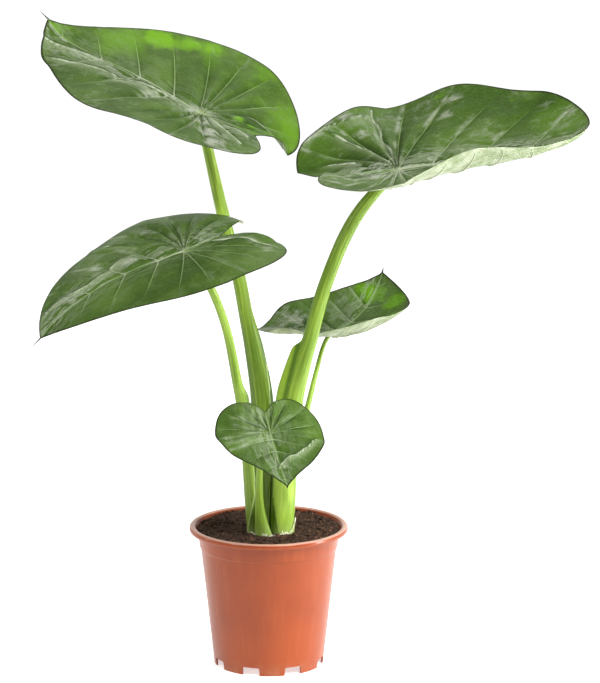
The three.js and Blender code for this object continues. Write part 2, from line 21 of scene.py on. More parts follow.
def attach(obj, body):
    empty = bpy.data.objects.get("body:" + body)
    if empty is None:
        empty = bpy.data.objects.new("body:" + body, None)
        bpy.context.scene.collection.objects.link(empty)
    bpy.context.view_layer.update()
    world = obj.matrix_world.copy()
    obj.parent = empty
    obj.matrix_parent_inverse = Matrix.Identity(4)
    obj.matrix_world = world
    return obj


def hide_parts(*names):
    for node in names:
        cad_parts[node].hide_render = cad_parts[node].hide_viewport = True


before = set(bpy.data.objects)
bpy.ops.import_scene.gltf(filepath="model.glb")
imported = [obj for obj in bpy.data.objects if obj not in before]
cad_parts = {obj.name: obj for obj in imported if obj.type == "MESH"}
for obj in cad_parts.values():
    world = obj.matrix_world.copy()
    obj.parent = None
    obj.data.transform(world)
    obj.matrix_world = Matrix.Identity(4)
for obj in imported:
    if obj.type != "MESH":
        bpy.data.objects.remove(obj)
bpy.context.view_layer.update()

# %% [markdown]
# ## The camera
#
# A product photograph of a tall plant is taken from far away with a long lens, so that the pot
# doesn't look larger than the leaves. This camera stands 4.6 m in front of the pot, above the
# leaves, and looks down by 12.5 degrees. The picture is upright, so the sensor is fitted to the
# picture's height: a lens then means the same whatever the width is.

# %% Camera
camera_data = bpy.data.cameras.new("camera")
camera_data.sensor_fit = "VERTICAL"
camera_data.sensor_height = 36
camera_data.lens = 210
camera = bpy.data.objects.new("camera", camera_data)
camera.location = (0.0376, -4.612, 1.4168)
camera.rotation_euler = (math.radians(77.5), 0, 0)
bpy.context.collection.objects.link(camera)
bpy.context.scene.camera = camera
print("camera lens:", camera_data.lens, "mm")

# %% [markdown]
# ## A bench for node trees
#
# Materials and Geometry Nodes are both trees of nodes. Linking them by hand takes many lines, so
# a small class holds one output socket, the wire, and lets Python's own operators add the Math
# nodes: `1 - mask` is a Subtract node. Every other node comes from one method, which takes the
# node's type, its settings and what goes into its sockets.

# %% Wires
def math_node(operation, swapped=False):
    """A method that puts a Math node behind a wire."""
    def method(wire, *others):
        values = (*others, wire) if swapped else (wire, *others)
        return wire.bench.node("ShaderNodeMath", {"operation": operation}, dict(enumerate(values)))
    return method


class Wire:
    """One output socket of a tree. Sums and products of wires become Math nodes."""

    __add__ = __radd__ = math_node("ADD")
    __mul__ = __rmul__ = math_node("MULTIPLY")
    __sub__, __rsub__ = math_node("SUBTRACT"), math_node("SUBTRACT", swapped=True)
    __truediv__, __rtruediv__ = math_node("DIVIDE"), math_node("DIVIDE", swapped=True)
    __pow__, __lt__, __gt__ = map(math_node, ("POWER", "LESS_THAN", "GREATER_THAN"))
    sine, cosine, rounded = map(math_node, ("SINE", "COSINE", "ROUND"))
    size, at_least = map(math_node, ("ABSOLUTE", "MAXIMUM"))

    def __init__(self, bench, socket):
        self.bench, self.socket = bench, socket

    def eased(self, low, high):
        """0 below low, 1 above high, and a smooth step in between."""
        return self.bench.node("ShaderNodeMapRange", {"interpolation_type": "SMOOTHSTEP"},
                               {"Value": self, "From Min": low, "From Max": high})

    def output(self, name):
        """Another output of the node that this wire comes from."""
        return Wire(self.bench, self.socket.node.outputs[name])


print("a wire knows", sum(callable(v) for v in vars(Wire).values()), "methods")

# %% Benches
class Bench:
    """A node tree that is being built."""

    def __init__(self, tree):
        self.tree = tree

    def node(self, kind, settings=None, inputs=None, output=0):
        """Adds a node, sets it up, fills its inputs with wires or values, and gives one output."""
        made = self.tree.nodes.new(kind)
        for name, value in (settings or {}).items():
            if name == "stops":
                self.set_stops(made.color_ramp.elements, value)
            else:
                setattr(made, name, value)
        for name, value in (inputs or {}).items():
            for each in value if isinstance(value, list) else [value]:
                if isinstance(each, Wire):
                    self.tree.links.new(each.socket, made.inputs[name])
                else:
                    made.inputs[name].default_value = each
        return Wire(self, made.outputs[output]) if made.outputs else None

    @staticmethod
    def set_stops(elements, stops):
        """Colours along a ramp, each with its place from 0 to 1."""
        while len(elements) < len(stops):
            elements.new(0.5)
        for element, (position, paint) in zip(elements, stops):
            element.position, element.color = position, paint

    def vector_maths(self, operation, *values, output="Vector"):
        settings = {"operation": operation}
        return self.node("ShaderNodeVectorMath", settings, dict(enumerate(values)), output)

    def scaled(self, vector, amount):
        return self.node("ShaderNodeVectorMath", {"operation": "SCALE"},
                         {0: vector, "Scale": amount}, "Vector")

    def split(self, vector):
        """A vector's three parts, as the outputs X, Y and Z."""
        return self.node("ShaderNodeSeparateXYZ", None, {0: vector})

    def noise(self, where, scale, detail=2.0, roughness=0.5, output="Fac"):
        inputs = {"Vector": where, "Scale": scale, "Detail": detail, "Roughness": roughness}
        return self.node("ShaderNodeTexNoise", None, inputs, output)


print("a bench has", [name for name in vars(Bench) if name[0] != "_"])

# %% Benches for finishes
def colour(code):
    """A colour written as on a web page, as the linear colour that Blender works with."""
    parts = [int(code[k:k + 2], 16) / 255 for k in (1, 3, 5)]
    linear = [p / 12.92 if p <= 0.04045 else ((p + 0.055) / 1.055) ** 2.4 for p in parts]
    return (*linear, 1.0)


class Finish(Bench):
    """A material that is being built."""

    def __init__(self, name):
        self.material = bpy.data.materials.new(name)
        self.material.use_nodes = True
        super().__init__(self.material.node_tree)
        self.tree.nodes.clear()

    def attribute(self, name, output="Fac"):
        """A value that the mesh keeps at its points."""
        return self.node("ShaderNodeAttribute", {"attribute_name": name}, None, output)

    def place(self):
        return self.node("ShaderNodeTexCoord", output="Object")

    def stretched(self, where, scale):
        return self.node("ShaderNodeMapping", None, {"Vector": where, "Scale": scale})

    def painted(self, first, *layers):
        """A colour with others over it. A layer says how far it covers, and in which colour."""
        paint = colour(first)
        for cover, code in layers:
            paint = self.node("ShaderNodeMix", {"data_type": "RGBA"},
                              {0: cover, 6: paint, 7: colour(code)}, output=2)
        return paint

    def bump(self, height, distance, strength=1.0):
        inputs = {"Height": height, "Distance": distance, "Strength": strength}
        return self.node("ShaderNodeBump", None, inputs)

    def surface(self, paint, rough, relief=None, specular=0.5, **more):
        """Ends a finish in one shader. The other sockets are named with _ for a space."""
        sockets = {"Base Color": paint, "Roughness": rough, "Specular IOR Level": specular}
        sockets.update({name.replace("_", " "): value for name, value in more.items()})
        if relief is not None:
            sockets["Normal"] = relief
        shader = self.node("ShaderNodeBsdfPrincipled", None, sockets)
        self.node("ShaderNodeOutputMaterial", None, {"Surface": shader})
        print("finish", self.material.name, "has", len(self.tree.nodes), "nodes")
        return self.material


print("leaf green in linear light:", [round(v, 3) for v in colour("#4e7a35")])

# %% [markdown]
# ## Making and keeping pieces
#
# All sizes below are in millimetres, as on a drawing, and are turned into metres where a mesh is
# made. A finished piece keeps its object at the origin, with its place in its mesh. Where a
# modifier or a Geometry Nodes tree shapes a piece, the result is taken as a plain mesh and the
# modifier is taken off, so that nothing is worked out again later.

# %% Pieces
MM = 0.001


def make_mesh(name, points, faces, finishes=(), finish_of_face=None, marks=None, edges=()):
    """An object at the origin from points in millimetres. marks are values kept at its points."""
    mesh = bpy.data.meshes.new(name)
    mesh.from_pydata((np.asarray(points, float) * MM).tolist(), list(edges), faces)
    for finish in finishes:
        mesh.materials.append(finish)
    if finish_of_face is not None:
        mesh.polygons.foreach_set("material_index", np.asarray(finish_of_face, np.int32))
    mesh.shade_smooth()
    for label, values in (marks or {}).items():
        values = np.asarray(values, np.float32)
        kind, key = ("FLOAT", "value") if values.ndim == 1 else ("FLOAT_VECTOR", "vector")
        mesh.attributes.new(label, kind, "POINT").data.foreach_set(key, values.ravel())
    piece = bpy.data.objects.new(name, mesh)
    bpy.context.collection.objects.link(piece)
    return piece


def settle(piece):
    """Turns what a piece's modifiers make into its plain mesh."""
    graph = bpy.context.evaluated_depsgraph_get()
    mesh = bpy.data.meshes.new_from_object(
        piece.evaluated_get(graph), preserve_all_data_layers=True, depsgraph=graph)
    piece.modifiers.clear()
    piece.data = mesh
    return piece


def keep(piece, slot, *nodes):
    """Hangs a finished piece on the root and hides the solids that it stands for. Its slot is not
    used.
    """
    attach(piece, "root")
    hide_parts(*nodes)
    piece.data.calc_loop_triangles()
    print(piece.name, "has", len(piece.data.loop_triangles), "triangles")


print("one drawing unit is", MM, "m")

# %% [markdown]
# Geometry Nodes need a tree with named inputs, and a modifier that sets them. The class below
# opens such a tree and has a method for each step that more than one recipe takes. `grow` puts
# the tree on an object, sets its inputs and settles the result.

# %% Recipes
class Recipe(Bench):
    """A Geometry Nodes tree with named inputs."""

    kinds = {int: "NodeSocketInt", float: "NodeSocketFloat"}

    def __init__(self, name, **inputs):
        super().__init__(bpy.data.node_groups.new(name, "GeometryNodeTree"))
        face = self.tree.interface
        face.new_socket("Geometry", in_out="INPUT", socket_type="NodeSocketGeometry")
        for label, value in inputs.items():
            socket = face.new_socket(label, in_out="INPUT", socket_type=self.kinds[type(value)])
            socket.default_value = value
        face.new_socket("Finish", in_out="INPUT", socket_type="NodeSocketMaterial")
        face.new_socket("Geometry", in_out="OUTPUT", socket_type="NodeSocketGeometry")
        self.entry = self.node("NodeGroupInput")

    def geo(self, kind, inputs=None, output=0, **settings):
        """A node of Geometry Nodes, named without the long start that all their types have."""
        return self.node("GeometryNode" + kind, settings, inputs, output)

    def given(self, name="Geometry"):
        return self.entry.output(name)

    def mark(self, name):
        """A value that the mesh keeps at its points."""
        return self.geo("InputNamedAttribute", {"Name": name}, data_type="FLOAT")

    def store(self, shape, name, value, kind="FLOAT"):
        """Keeps a value at the points of a shape."""
        return self.geo("StoreNamedAttribute", {0: shape, "Name": name, "Value": value},
                        data_type=kind)

    def vector(self, x, y, z):
        return self.node("ShaderNodeCombineXYZ", None, {0: x, 1: y, 2: z})

    def random(self, low, high, seed):
        return self.node("FunctionNodeRandomValue", None, {2: low, 3: high, "Seed": seed}, 1)

    def grid(self, columns, rows):
        """A flat grid, with how far along and how far up it each point is, from 0 to 1."""
        grid = self.geo("MeshGrid", {0: 1.0, 1: 1.0, 2: columns, 3: rows})
        flat = self.split(self.geo("InputPosition"))
        return grid, flat.output("X") + 0.5, flat.output("Y") + 0.5

    def welded(self, shape):
        return self.geo("MergeByDistance", {0: shape, 2: 1e-6})

    def bent(self, shape, shift, scale, centre, reach):
        """Moves the points of a shape by noise, which is read a little further on by shift."""
        where = self.vector_maths("ADD", self.geo("InputPosition"), shift)
        push = self.noise(where, scale, 1, output="Color")
        push = self.vector_maths("SUBTRACT", push, centre)
        push = self.vector_maths("MULTIPLY", push, reach)
        return self.geo("SetPosition", {0: shape, "Offset": push})

    def scatter(self, shapes, palest, spin, size):
        """Puts one of the shapes at each of many points spread over the mesh."""
        seed = self.given("Seed")
        points = self.geo("DistributePointsOnFaces",
                          {0: self.given(), "Density": self.given("Density"), "Seed": seed})
        points = self.store(points, "tone", self.random(palest, 1.0, seed + 1))
        shapes = self.geo("JoinGeometry",
                          {0: [self.geo("GeometryToInstance", {0: shape}) for shape in shapes]})
        return self.geo("InstanceOnPoints", {0: points, 2: shapes, 3: True, 5: spin, 6: size})

    def finish(self, geometry):
        whole = self.geo("RealizeInstances", {"Geometry": geometry})
        painted = self.geo("SetMaterial", {"Geometry": whole, "Material": self.given("Finish")})
        self.node("NodeGroupOutput", None, {"Geometry": painted})
        print("recipe", self.tree.name, "has", len(self.tree.nodes), "nodes")
        return self


def grow(piece, recipe, finish, **values):
    """Runs a recipe on a piece. A modifier knows its inputs by their sockets' identifiers."""
    values["Finish"] = finish
    modifier = piece.modifiers.new("recipe", "NODES")
    modifier.node_group = recipe.tree
    for item in recipe.tree.interface.items_tree:
        if item.in_out == "INPUT" and item.name in values:
            modifier[item.identifier] = values[item.name]
    return settle(piece)


print("a recipe adds", [name for name in vars(Recipe) if name[0] != "_"])

# %% [markdown]
# ## The pot
#
# A nursery pot is moulded from thin polypropylene: a straight cone, a plain collar under a flat
# rolled rim, and a foot with notches that let water out. It has one colour all through, with a
# soft gloss, faint streaks from the mould and fine scuffs.
#
# It could be turned with a Screw modifier. A Geometry Nodes recipe was chosen because the same
# tree also cuts the notches and the drain holes, which repeat round the pot. The profile is drawn
# as a line with small arcs in its corners, because real plastic has no sharp edges and the arcs
# catch the light.

# %% Pot sizes
POT = dict(height=170, rim=95, mouth=87.6, rim_depth=6.5, collar_top=85, collar_bottom=82.8,
           collar_height=20, collar_step=1.4, foot=65.5, wall=2, floor=11, floor_thickness=2.5,
           pad=18, notches=8, notch_width=21, notch_height=10, notch_turn=-18.6,
           drain_radius=4.5, drain_circle=48)
UNDER_RIM = POT["height"] - POT["rim_depth"]
COLLAR_FOOT = UNDER_RIM - POT["collar_height"]


def wall_radius(z):
    """Outside radius of the cone at a height."""
    top = POT["collar_bottom"] - POT["collar_step"]
    return POT["foot"] + (top - POT["foot"]) * z / COLLAR_FOOT


def round_corners(corners, steps=4):
    """A line through (radius, height, rounding) corners, each replaced by a small arc."""
    line = []
    for k, (r, z, rounding) in enumerate(corners):
        here = Vector((r, z))
        if rounding == 0 or k in (0, len(corners) - 1):
            line.append(here)
            continue
        back = Vector(corners[k - 1][:2]) - here
        ahead = Vector(corners[k + 1][:2]) - here
        start = here + back.normalized() * min(rounding, 0.45 * back.length)
        end = here + ahead.normalized() * min(rounding, 0.45 * ahead.length)
        for i in range(steps + 1):
            t = i / steps
            line.append(start * (1 - t) ** 2 + here * 2 * t * (1 - t) + end * t * t)
    return line


print("wall under the collar:", round(wall_radius(COLLAR_FOOT), 1), "mm")

# %% Pot profile
def inner(z):
    """Inside radius of the cone at a height."""
    return wall_radius(z) - POT["wall"]


def pot_profile():
    """Half the pot's section: under the floor, up the outside, over the rim and down inside."""
    p = POT
    floor_top = p["floor"] + p["floor_thickness"]
    wall = [(wall_radius(z), z, 0) for z in (3, 9, 14, 40, 75, 110, 135)]
    return round_corners([
        (0, 0, 0), (p["pad"], 0, 1), (p["pad"] + 2, p["floor"], 1.5),
        (inner(p["floor"]) - 1, p["floor"], 1.5), (inner(0), 0, 0.7), (p["foot"], 0, 0.7), *wall,
        (wall_radius(COLLAR_FOOT), COLLAR_FOOT, 0.5),
        (p["collar_bottom"], COLLAR_FOOT + 1.2, 0.7), (p["collar_top"], UNDER_RIM, 1.4),
        (p["rim"] - 0.8, UNDER_RIM, 0.9), (p["rim"], UNDER_RIM + 1.4, 1.0),
        (p["rim"] - 0.3, p["height"] - 1.4, 1.5), (p["rim"] - 2.2, p["height"], 1.6),
        (p["mouth"] + 1.8, p["height"], 1.4), (p["mouth"], p["height"] - 1.6, 1.2),
        (p["collar_top"] - p["wall"], UNDER_RIM - 1.5, 1.5),
        (p["collar_bottom"] - p["wall"], COLLAR_FOOT + 1.5, 1),
        (inner(COLLAR_FOOT), COLLAR_FOOT, 1),
        (inner(90), 90, 0), (inner(floor_top) - 1, floor_top, 1),
        (p["pad"] - 0.3, floor_top, 1), (p["pad"] - 2.3, p["floor_thickness"], 0.5),
        (0, p["floor_thickness"], 0)])


profile = pot_profile()
print("the pot's profile has", len(profile), "points")

# %% Recipe for a turned pot
def turned_recipe():
    """Turns the profile round Z, then cuts notches in the foot and holes in the floor."""
    make = Recipe("turned pot", Sides=200, Notches=8, NotchWidth=0.021, NotchHeight=0.01,
                  NotchRound=0.002, FootRadius=0.0655, NotchTurn=0.0, HoleRadius=0.0045,
                  HoleCircle=0.048, FloorHeight=0.011)
    given, vector, geo = make.given, make.vector, make.geo
    count = geo("AttributeDomainSize", {0: given()})
    grid, around, along = make.grid(given("Sides") + 1, count)
    turn, row = around * (2 * math.pi), (along * (count - 1)).rounded()
    point = make.split(geo("SampleIndex", {0: given(), 1: geo("InputPosition"), 2: row},
                           data_type="FLOAT_VECTOR"))
    radius, height = point.output("X"), point.output("Z")
    round_z = vector(radius * turn.cosine(), radius * turn.sine(), height)
    body = make.welded(geo("SetPosition", {0: grid, 2: round_z}))

    outline = geo("CurvePrimitiveQuadrilateral",
                  {0: given("NotchWidth"), 1: given("NotchHeight") * 2})
    outline = geo("FilletCurve", {0: outline, "Count": 4, "Radius": given("NotchRound")},
                  mode="POLY")
    face = geo("FillCurve", {0: outline}, mode="NGONS")
    block = geo("ExtrudeMesh", {0: face, 2: vector(0, 0, 0.02)})
    block = make.welded(geo("JoinGeometry", {0: [block, geo("FlipFaces", {0: face})]}))
    block = geo("Transform", {0: block, 1: vector(0, given("FootRadius") * -1 + 0.01, 0),
                              2: vector(math.pi / 2, 0, 0)})
    hole = geo("MeshCylinder", {0: 24, "Radius": given("HoleRadius"), "Depth": 0.012})
    hole = geo("Transform",
               {0: hole, 1: vector(0, given("HoleCircle") * -1, given("FloorHeight"))})
    places = geo("Points", {0: given("Notches")})
    step = (2 * math.pi) / given("Notches")
    for tool, shift in ((block, 0), (hole, 0.5)):
        angle = given("NotchTurn") + (geo("InputIndex") + shift) * step
        tools = geo("InstanceOnPoints", {0: places, 2: tool, 5: vector(0, 0, angle)})
        tools = geo("RealizeInstances", {0: tools})
        body = geo("MeshBoolean", {0: body, 1: tools}, operation="DIFFERENCE", solver="EXACT")
    body = geo("SetShadeSmooth", {0: body})
    sharp = geo("InputMeshEdgeAngle") > math.radians(38)
    return make.finish(geo("SetShadeSmooth", {0: body, 1: sharp, 2: False}, domain="EDGE"))


turned = turned_recipe()

# %% [markdown]
# The plastic's colour is the same all through, so its life comes from the surface: streaks that
# run up the wall from the mould, a broad change of tone, fine scuffs that only show as roughness,
# dust and dried splashes low on the wall, and a painted highlight along the top of the rim. All of
# it reads Object coordinates, so it stays put when the camera moves.

# %% Pot plastic
def pot_plastic():
    make = Finish("pot_plastic")
    place = make.place()
    height = make.split(place).output("Z")
    streaks = make.noise(make.stretched(place, (1, 1, 0.04)), 140, 3, 0.6)
    dust = (1 - height.eased(0.0, 0.022)) * make.noise(place, 60, 4, 0.6).eased(0.4, 0.7)
    splash = make.noise(place, 330, 3, 0.7).eased(0.66, 0.78) * (1 - height.eased(0.02, 0.12))
    scuffs = make.noise(make.stretched(place, (1, 1, 6)), 160, 5, 0.7).eased(0.5, 0.8)
    paint = make.painted(
        "#84350a",
        (make.noise(place, 9, 3).eased(0.3, 0.75), "#933e0e"),
        (streaks.eased(0.45, 0.75) * 0.12, "#b5622f"),
        # painted highlight along the top of the rim
        (height.eased(0.168, 0.1697) * 0.65, "#dfb2a0"),
        (dust * 0.4, "#9a6b50"),
        (splash * 0.35, "#7d4a35"))
    relief = make.bump(streaks * 0.7 + make.noise(place, 900, 2) * 0.3, 0.00008, 0.5)
    return make.surface(paint, 0.42 + scuffs * 0.12 + dust * 0.2, relief, 0.18,
                        Coat_Weight=0.42, Coat_Roughness=0.1)


pot_finish = pot_plastic()

# %% Turn the pot
line = [(point.x, 0, point.y) for point in profile]
pot = make_mesh("pot_turned", line, [], edges=[(k, k + 1) for k in range(len(line) - 1)])
pot = grow(pot, turned, pot_finish, Notches=POT["notches"],
           NotchTurn=math.radians(POT["notch_turn"]), NotchWidth=POT["notch_width"] * MM,
           NotchHeight=POT["notch_height"] * MM, FootRadius=POT["foot"] * MM,
           HoleRadius=POT["drain_radius"] * MM, HoleCircle=POT["drain_circle"] * MM,
           FloorHeight=POT["floor"] * MM)
keep(pot, "pot_plastic", "pot")
print("pot, metres:", [round(v, 4) for v in pot.dimensions])

# %% [markdown]
# ## The peat
#
# The pot is filled with a dark, coarse peat mix. From above it is a lumpy surface with loose
# crumbs and fibres on it, a little lower round the stems, with a dark gap along the wall.
#
# A bump map alone would look painted on at its edge, so the bed itself is lumpy, and loose
# crumbs and fibres are scattered on it by Geometry Nodes. A crumb is repeated thousands of times,
# so it has only twenty faces: its shape comes from being squashed, bent by noise and turned.

# %% Peat bed
SOIL_LEVEL, SOIL_HOLLOW, SOIL_RADIUS = 167.8, 6.0, 85.4
BED_RINGS, BED_SIDES, CRUMB_RINGS = 62, 190, 60


def lumps(x, y):
    """Height of the peat's lumps at a place, in millimetres."""
    coarse = noise.noise(Vector((x / 19, y / 19, 3.1)))
    medium = noise.noise(Vector((x / 7, y / 7, 9.4)))
    fine = noise.noise(Vector((x / 3, y / 3, 1.7)))
    return 1.3 * coarse + 0.9 * medium + 0.6 * abs(fine)


def peat_bed(rings, sides):
    """A lumpy disc with a plain wall and underside, ring by ring from the middle."""
    points, faces = [], []
    for i in range(rings + 1):
        r = SOIL_RADIUS * (i / rings) ** 0.85
        edge = 2.2 * max(0.0, (r - SOIL_RADIUS + 5) / 5) ** 2
        for k in range(sides):
            turn = 2 * math.pi * k / sides
            x, y = r * math.cos(turn), r * math.sin(turn)
            z = SOIL_LEVEL - SOIL_HOLLOW * (1 - r / POT["mouth"]) - edge
            points.append((x, y, z + (lumps(x, y) if i else 0)))
    for r, z in ((SOIL_RADIUS - 3.2, 161), (SOIL_RADIUS - 5.5, 142), (wall_radius(15) - 4, 14.5)):
        turns = (2 * math.pi * k / sides for k in range(sides))
        points += [(r * math.cos(turn), r * math.sin(turn), z) for turn in turns]
    for i in range(rings + 3):
        for k in range(sides):
            a, b = i * sides + k, i * sides + (k + 1) % sides
            faces.append((a, a + sides, b + sides, b))
    faces.append([(rings + 3) * sides + k for k in reversed(range(sides))])
    return points, faces


def peat_finish():
    make = Finish("peat")
    clods = make.noise(make.place(), 120, 4, 0.65)
    specks = make.noise(make.place(), 620, 3, 0.6)
    paint = make.painted(
        "#302018",
        (clods.eased(0.35, 0.7), "#4c382a"),
        (specks.eased(0.58, 0.75) * 0.7, "#5f4232"),
        ((1 - specks).eased(0.6, 0.75) * 0.8, "#140c08"))
    relief = make.bump(clods * 0.5 + specks * 0.5, 0.0012, 0.9)
    return make.surface(paint, 0.93, relief, 0.25)


bed_points, bed_faces = peat_bed(BED_RINGS, BED_SIDES)
print("peat bed:", len(bed_points), "points")

# %% [markdown]
# Merging the ring at the middle into one point closes the bed. The crumbs' recipe then spreads
# points over its top, but not on the rings that touch the wall. It puts one of three crumb shapes
# on each, and lets most crumbs be small: a random number raised to a power is usually near zero.

# %% Close the bed
def welded_mesh(name, points, faces, finishes=()):
    """An object whose points are merged where several are in the same place."""
    piece = make_mesh(name, points, faces, finishes)
    work = bmesh.new()
    work.from_mesh(piece.data)
    bmesh.ops.remove_doubles(work, verts=work.verts, dist=1e-7)
    work.to_mesh(piece.data)
    work.free()
    return piece


loose_faces = bed_faces[:CRUMB_RINGS * BED_SIDES]
keep(welded_mesh("peat_bed", bed_points, bed_faces, [peat_finish()]), "peat", "soil")

# %% Recipe for crumbs
def crumb_recipe():
    make = Recipe("peat crumbs", Density=90000.0, Smallest=0.0006, Largest=0.0032, Seed=5)
    shapes = []
    for k, squash in enumerate(((1, 0.8, 0.6), (0.8, 1, 0.45), (1, 0.55, 0.7))):
        ball = make.geo("MeshIcoSphere", {"Radius": 1.0, "Subdivisions": 1})
        ball = make.bent(ball, (3.0 * k, 1.0, 7.0), 1.3, (0.5, 0.5, 0.5), (1.6, 1.6, 1.6))
        shapes.append(make.geo("Transform", {0: ball, "Scale": squash}))
    seed, least = make.given("Seed"), make.given("Smallest")
    spin = make.vector(*(make.random(0.0, 2 * math.pi, seed + k) for k in (2, 3, 4)))
    size = least + (make.given("Largest") - least) * make.random(0.0, 1.0, seed + 6) ** 3.2
    return make.finish(make.scatter(shapes, 0.0, spin, make.vector(size, size, size)))


def crumb_finish():
    make = Finish("peat_crumb")
    grain = make.noise(make.place(), 800, 2)
    tone = make.attribute("tone") * 0.85 + grain * 0.3 - 0.07
    stops = ((0.0, "#1d130d"), (0.35, "#35251b"), (0.62, "#4a352a"), (0.82, "#5d4233"),
             (0.95, "#755443"), (1.0, "#94785b"))
    stops = [(position, colour(code)) for position, code in stops]
    paint = make.node("ShaderNodeValToRGB", {"stops": stops}, {"Fac": tone})
    return make.surface(paint, 0.9, make.bump(grain, 0.0006), 0.2)


crumb_paint = crumb_finish()
crumbs = welded_mesh("peat_crumbs", bed_points, loose_faces)
keep(grow(crumbs, crumb_recipe(), crumb_paint, Density=95000.0, Seed=5), "peat", "soil")

# %% [markdown]
# Peat also holds fibres, short bent hairs of moss and bark. Each is a thin tube with three sides
# on a bent line. Their recipe is the same idea again: points on the ground, one of two shapes on
# each, lying almost flat.

# %% Recipe for fibres
def fibre_recipe():
    make = Recipe("peat fibres", Density=9000.0, Length=0.006, Thickness=0.00018, Seed=11)
    section = make.geo("CurvePrimitiveCircle",
                       {"Resolution": 3, "Radius": make.given("Thickness")})
    half = make.given("Length") * 0.5
    shapes = []
    for k in range(2):
        hair = make.geo("CurvePrimitiveLine", {"Start": make.vector(half * -1, 0, 0),
                                               "End": make.vector(half, 0, 0)})
        hair = make.geo("ResampleCurve", {0: hair, "Count": 6})
        hair = make.bent(hair, (2.0 * k, 0, 0), 260, (0.5, 0.5, 0.45), (0.001, 0.006, 0.003))
        shapes.append(make.geo("CurveToMesh",
                               {0: hair, "Profile Curve": section, "Fill Caps": True}))
    seed = make.given("Seed")
    spin = make.vector(make.random(-0.25, 0.25, seed + 2), make.random(-0.3, 0.3, seed + 3),
                       make.random(0.0, 2 * math.pi, seed + 4))
    size = make.random(0.4, 1.2, seed + 5)
    return make.finish(make.scatter(shapes, 0.25, spin, make.vector(size, 1, size)))


fibres = welded_mesh("peat_fibres", bed_points, loose_faces)
keep(grow(fibres, fibre_recipe(), crumb_paint, Density=11000.0, Seed=11), "peat", "soil")

# %% [markdown]
# ## How a leaf is shaped
#
# Each blade is a heart with a drip tip. It hangs on its stalk by a hub a little inside the notch
# between its back lobes. A pale midrib runs from the hub to the tip, strong side veins run from
# the midrib and the hub to the margin, and the blade swells up between them like a quilt.
#
# It could be sculpted by hand, but five leaves that follow one rule stay alike and can be tuned
# by numbers. The rule: draw half of the flat outline, split it into rows that follow the side
# veins, then bend every point along the midrib, and fold and cup it on either side. Even rows are
# veins. The two halves have their own folds, because no real leaf is even.

# %% The five leaves
BLADE = dict(thickness=0.8, pleat=0.021, vein_arch=-0.06, hub_share=0.75, crowding=1.2,
             bend_steps=12)


def edge(fold, fold_end, cup, cup_end, droop, full, wave, phase, sheen, swell, glow=0.0):
    """One half of a blade. sheen: how much painted sheen and waxy bloom its folds carry, which
    also deepens its puckers. swell: how much it stands up between its veins. glow: how much light
    shining through it is painted."""
    return dict(fold=fold, fold_end=fold_end, cup=cup, cup_end=cup_end, droop=droop, full=full,
                wave=wave, phase=phase, sheen=sheen, swell=swell, glow=glow)


def half_of(leaf, side):
    """The values of a leaf's left half, for side 1, or of its right one, for side -1."""
    return leaf["left" if side > 0 else "right"]


def midrib_rows(leaf):
    """How many rows start on the midrib. All the others start at the hub."""
    return round(leaf["rows"][0] * BLADE["hub_share"])


LEAVES = {
    "a": dict(hub=(-78, 45, 668), heading=155, rise=24, tilt=6, tip=230, half=141, lobe=105,
              notch=76, tail=15, tail_slope=-25, rows=(12, 6, 4), arch=17, arch_end=-20, curl=35,
              lobe_arch=-9, sweep=-1, hook=-1, twist=-5, wave_length=140,
              dents=((0, 0, 69, -8), (205, 40, 20, -9)),
              left=edge(-16, -15, 21, -5, 0, 0.15, 1.5, 0, sheen=0.9, swell=1.8),
              right=edge(16, 10, 10, -11, 0.65, 0.15, 0.5, 85, glow=0.9, sheen=0.25, swell=1.8)),
    "b": dict(hub=(153, 0, 603), heading=2, rise=8, tilt=24, tip=239, half=150, lobe=106,
              notch=75, tail=5, tail_slope=0, rows=(12, 6, 4), arch=-2, arch_end=-41, curl=13,
              lobe_arch=-20, sweep=-25, hook=-11, twist=-6, wave_length=115,
              dents=((0, 0, 72, -2), (-92, 30, 44, -23), (-88, -22, 25, 11)),
              left=edge(-4, 6, 1, 47, 0.5, 0.5, 6.5, -135, glow=0.3, sheen=1.1, swell=2),
              right=edge(11, 2, 32, 58, -0.1, 0.35, 1.5, 100, sheen=1.0, swell=0.3)),
    "c": dict(hub=(-97, -95, 527), heading=204, rise=-16, tilt=-21, tip=201, half=120, lobe=102,
              notch=49, tail=15, tail_slope=10, rows=(12, 6, 4), arch=17, arch_end=23, curl=4,
              lobe_arch=8, sweep=-1, hook=7, twist=-4, wave_length=125, dents=((0, 0, 60, -6),),
              left=edge(15, -2, -9, 22, 0.3, 0.1, 1.5, 120, sheen=0.35, swell=0.8),
              right=edge(-5, 1, -22, -23, 0.35, 0.3, 1.5, 10, sheen=0.8, swell=2.4)),
    "d": dict(hub=(74, 95, 386), heading=54, rise=0, tilt=-6, tip=155, half=90, lobe=83,
              notch=33, tail=8, tail_slope=0, rows=(10, 5, 3), arch=-29, arch_end=-20, curl=-3,
              lobe_arch=-39, sweep=15, hook=-3, twist=7, wave_length=115, dents=((0, 0, 46, -3),),
              left=edge(5, 27, 8, -3, 0.45, 0, 6, -5, glow=0.3, sheen=0.7, swell=2),
              right=edge(-11, 3, 49, 10, 0.5, 0.25, 0.5, -130, glow=0.4, sheen=0.2, swell=0.8)),
    "e": dict(hub=(3, -93, 306), heading=-78, rise=-28, tilt=8, tip=106, half=65, lobe=53,
              notch=34, tail=3, tail_slope=0, rows=(10, 5, 3), arch=-15, arch_end=8, curl=-2,
              lobe_arch=-21, sweep=1, hook=1, twist=-1, wave_length=55, dents=((0, 0, 32, -3),),
              left=edge(-11, 11, -8, 15, 0.25, 0, 2, -135, sheen=0.3, swell=3),
              right=edge(6, 19, 1, -18, 0.25, 0, 2.5, -30, sheen=0.6, swell=3)),
}
print("leaves:", ", ".join(LEAVES))

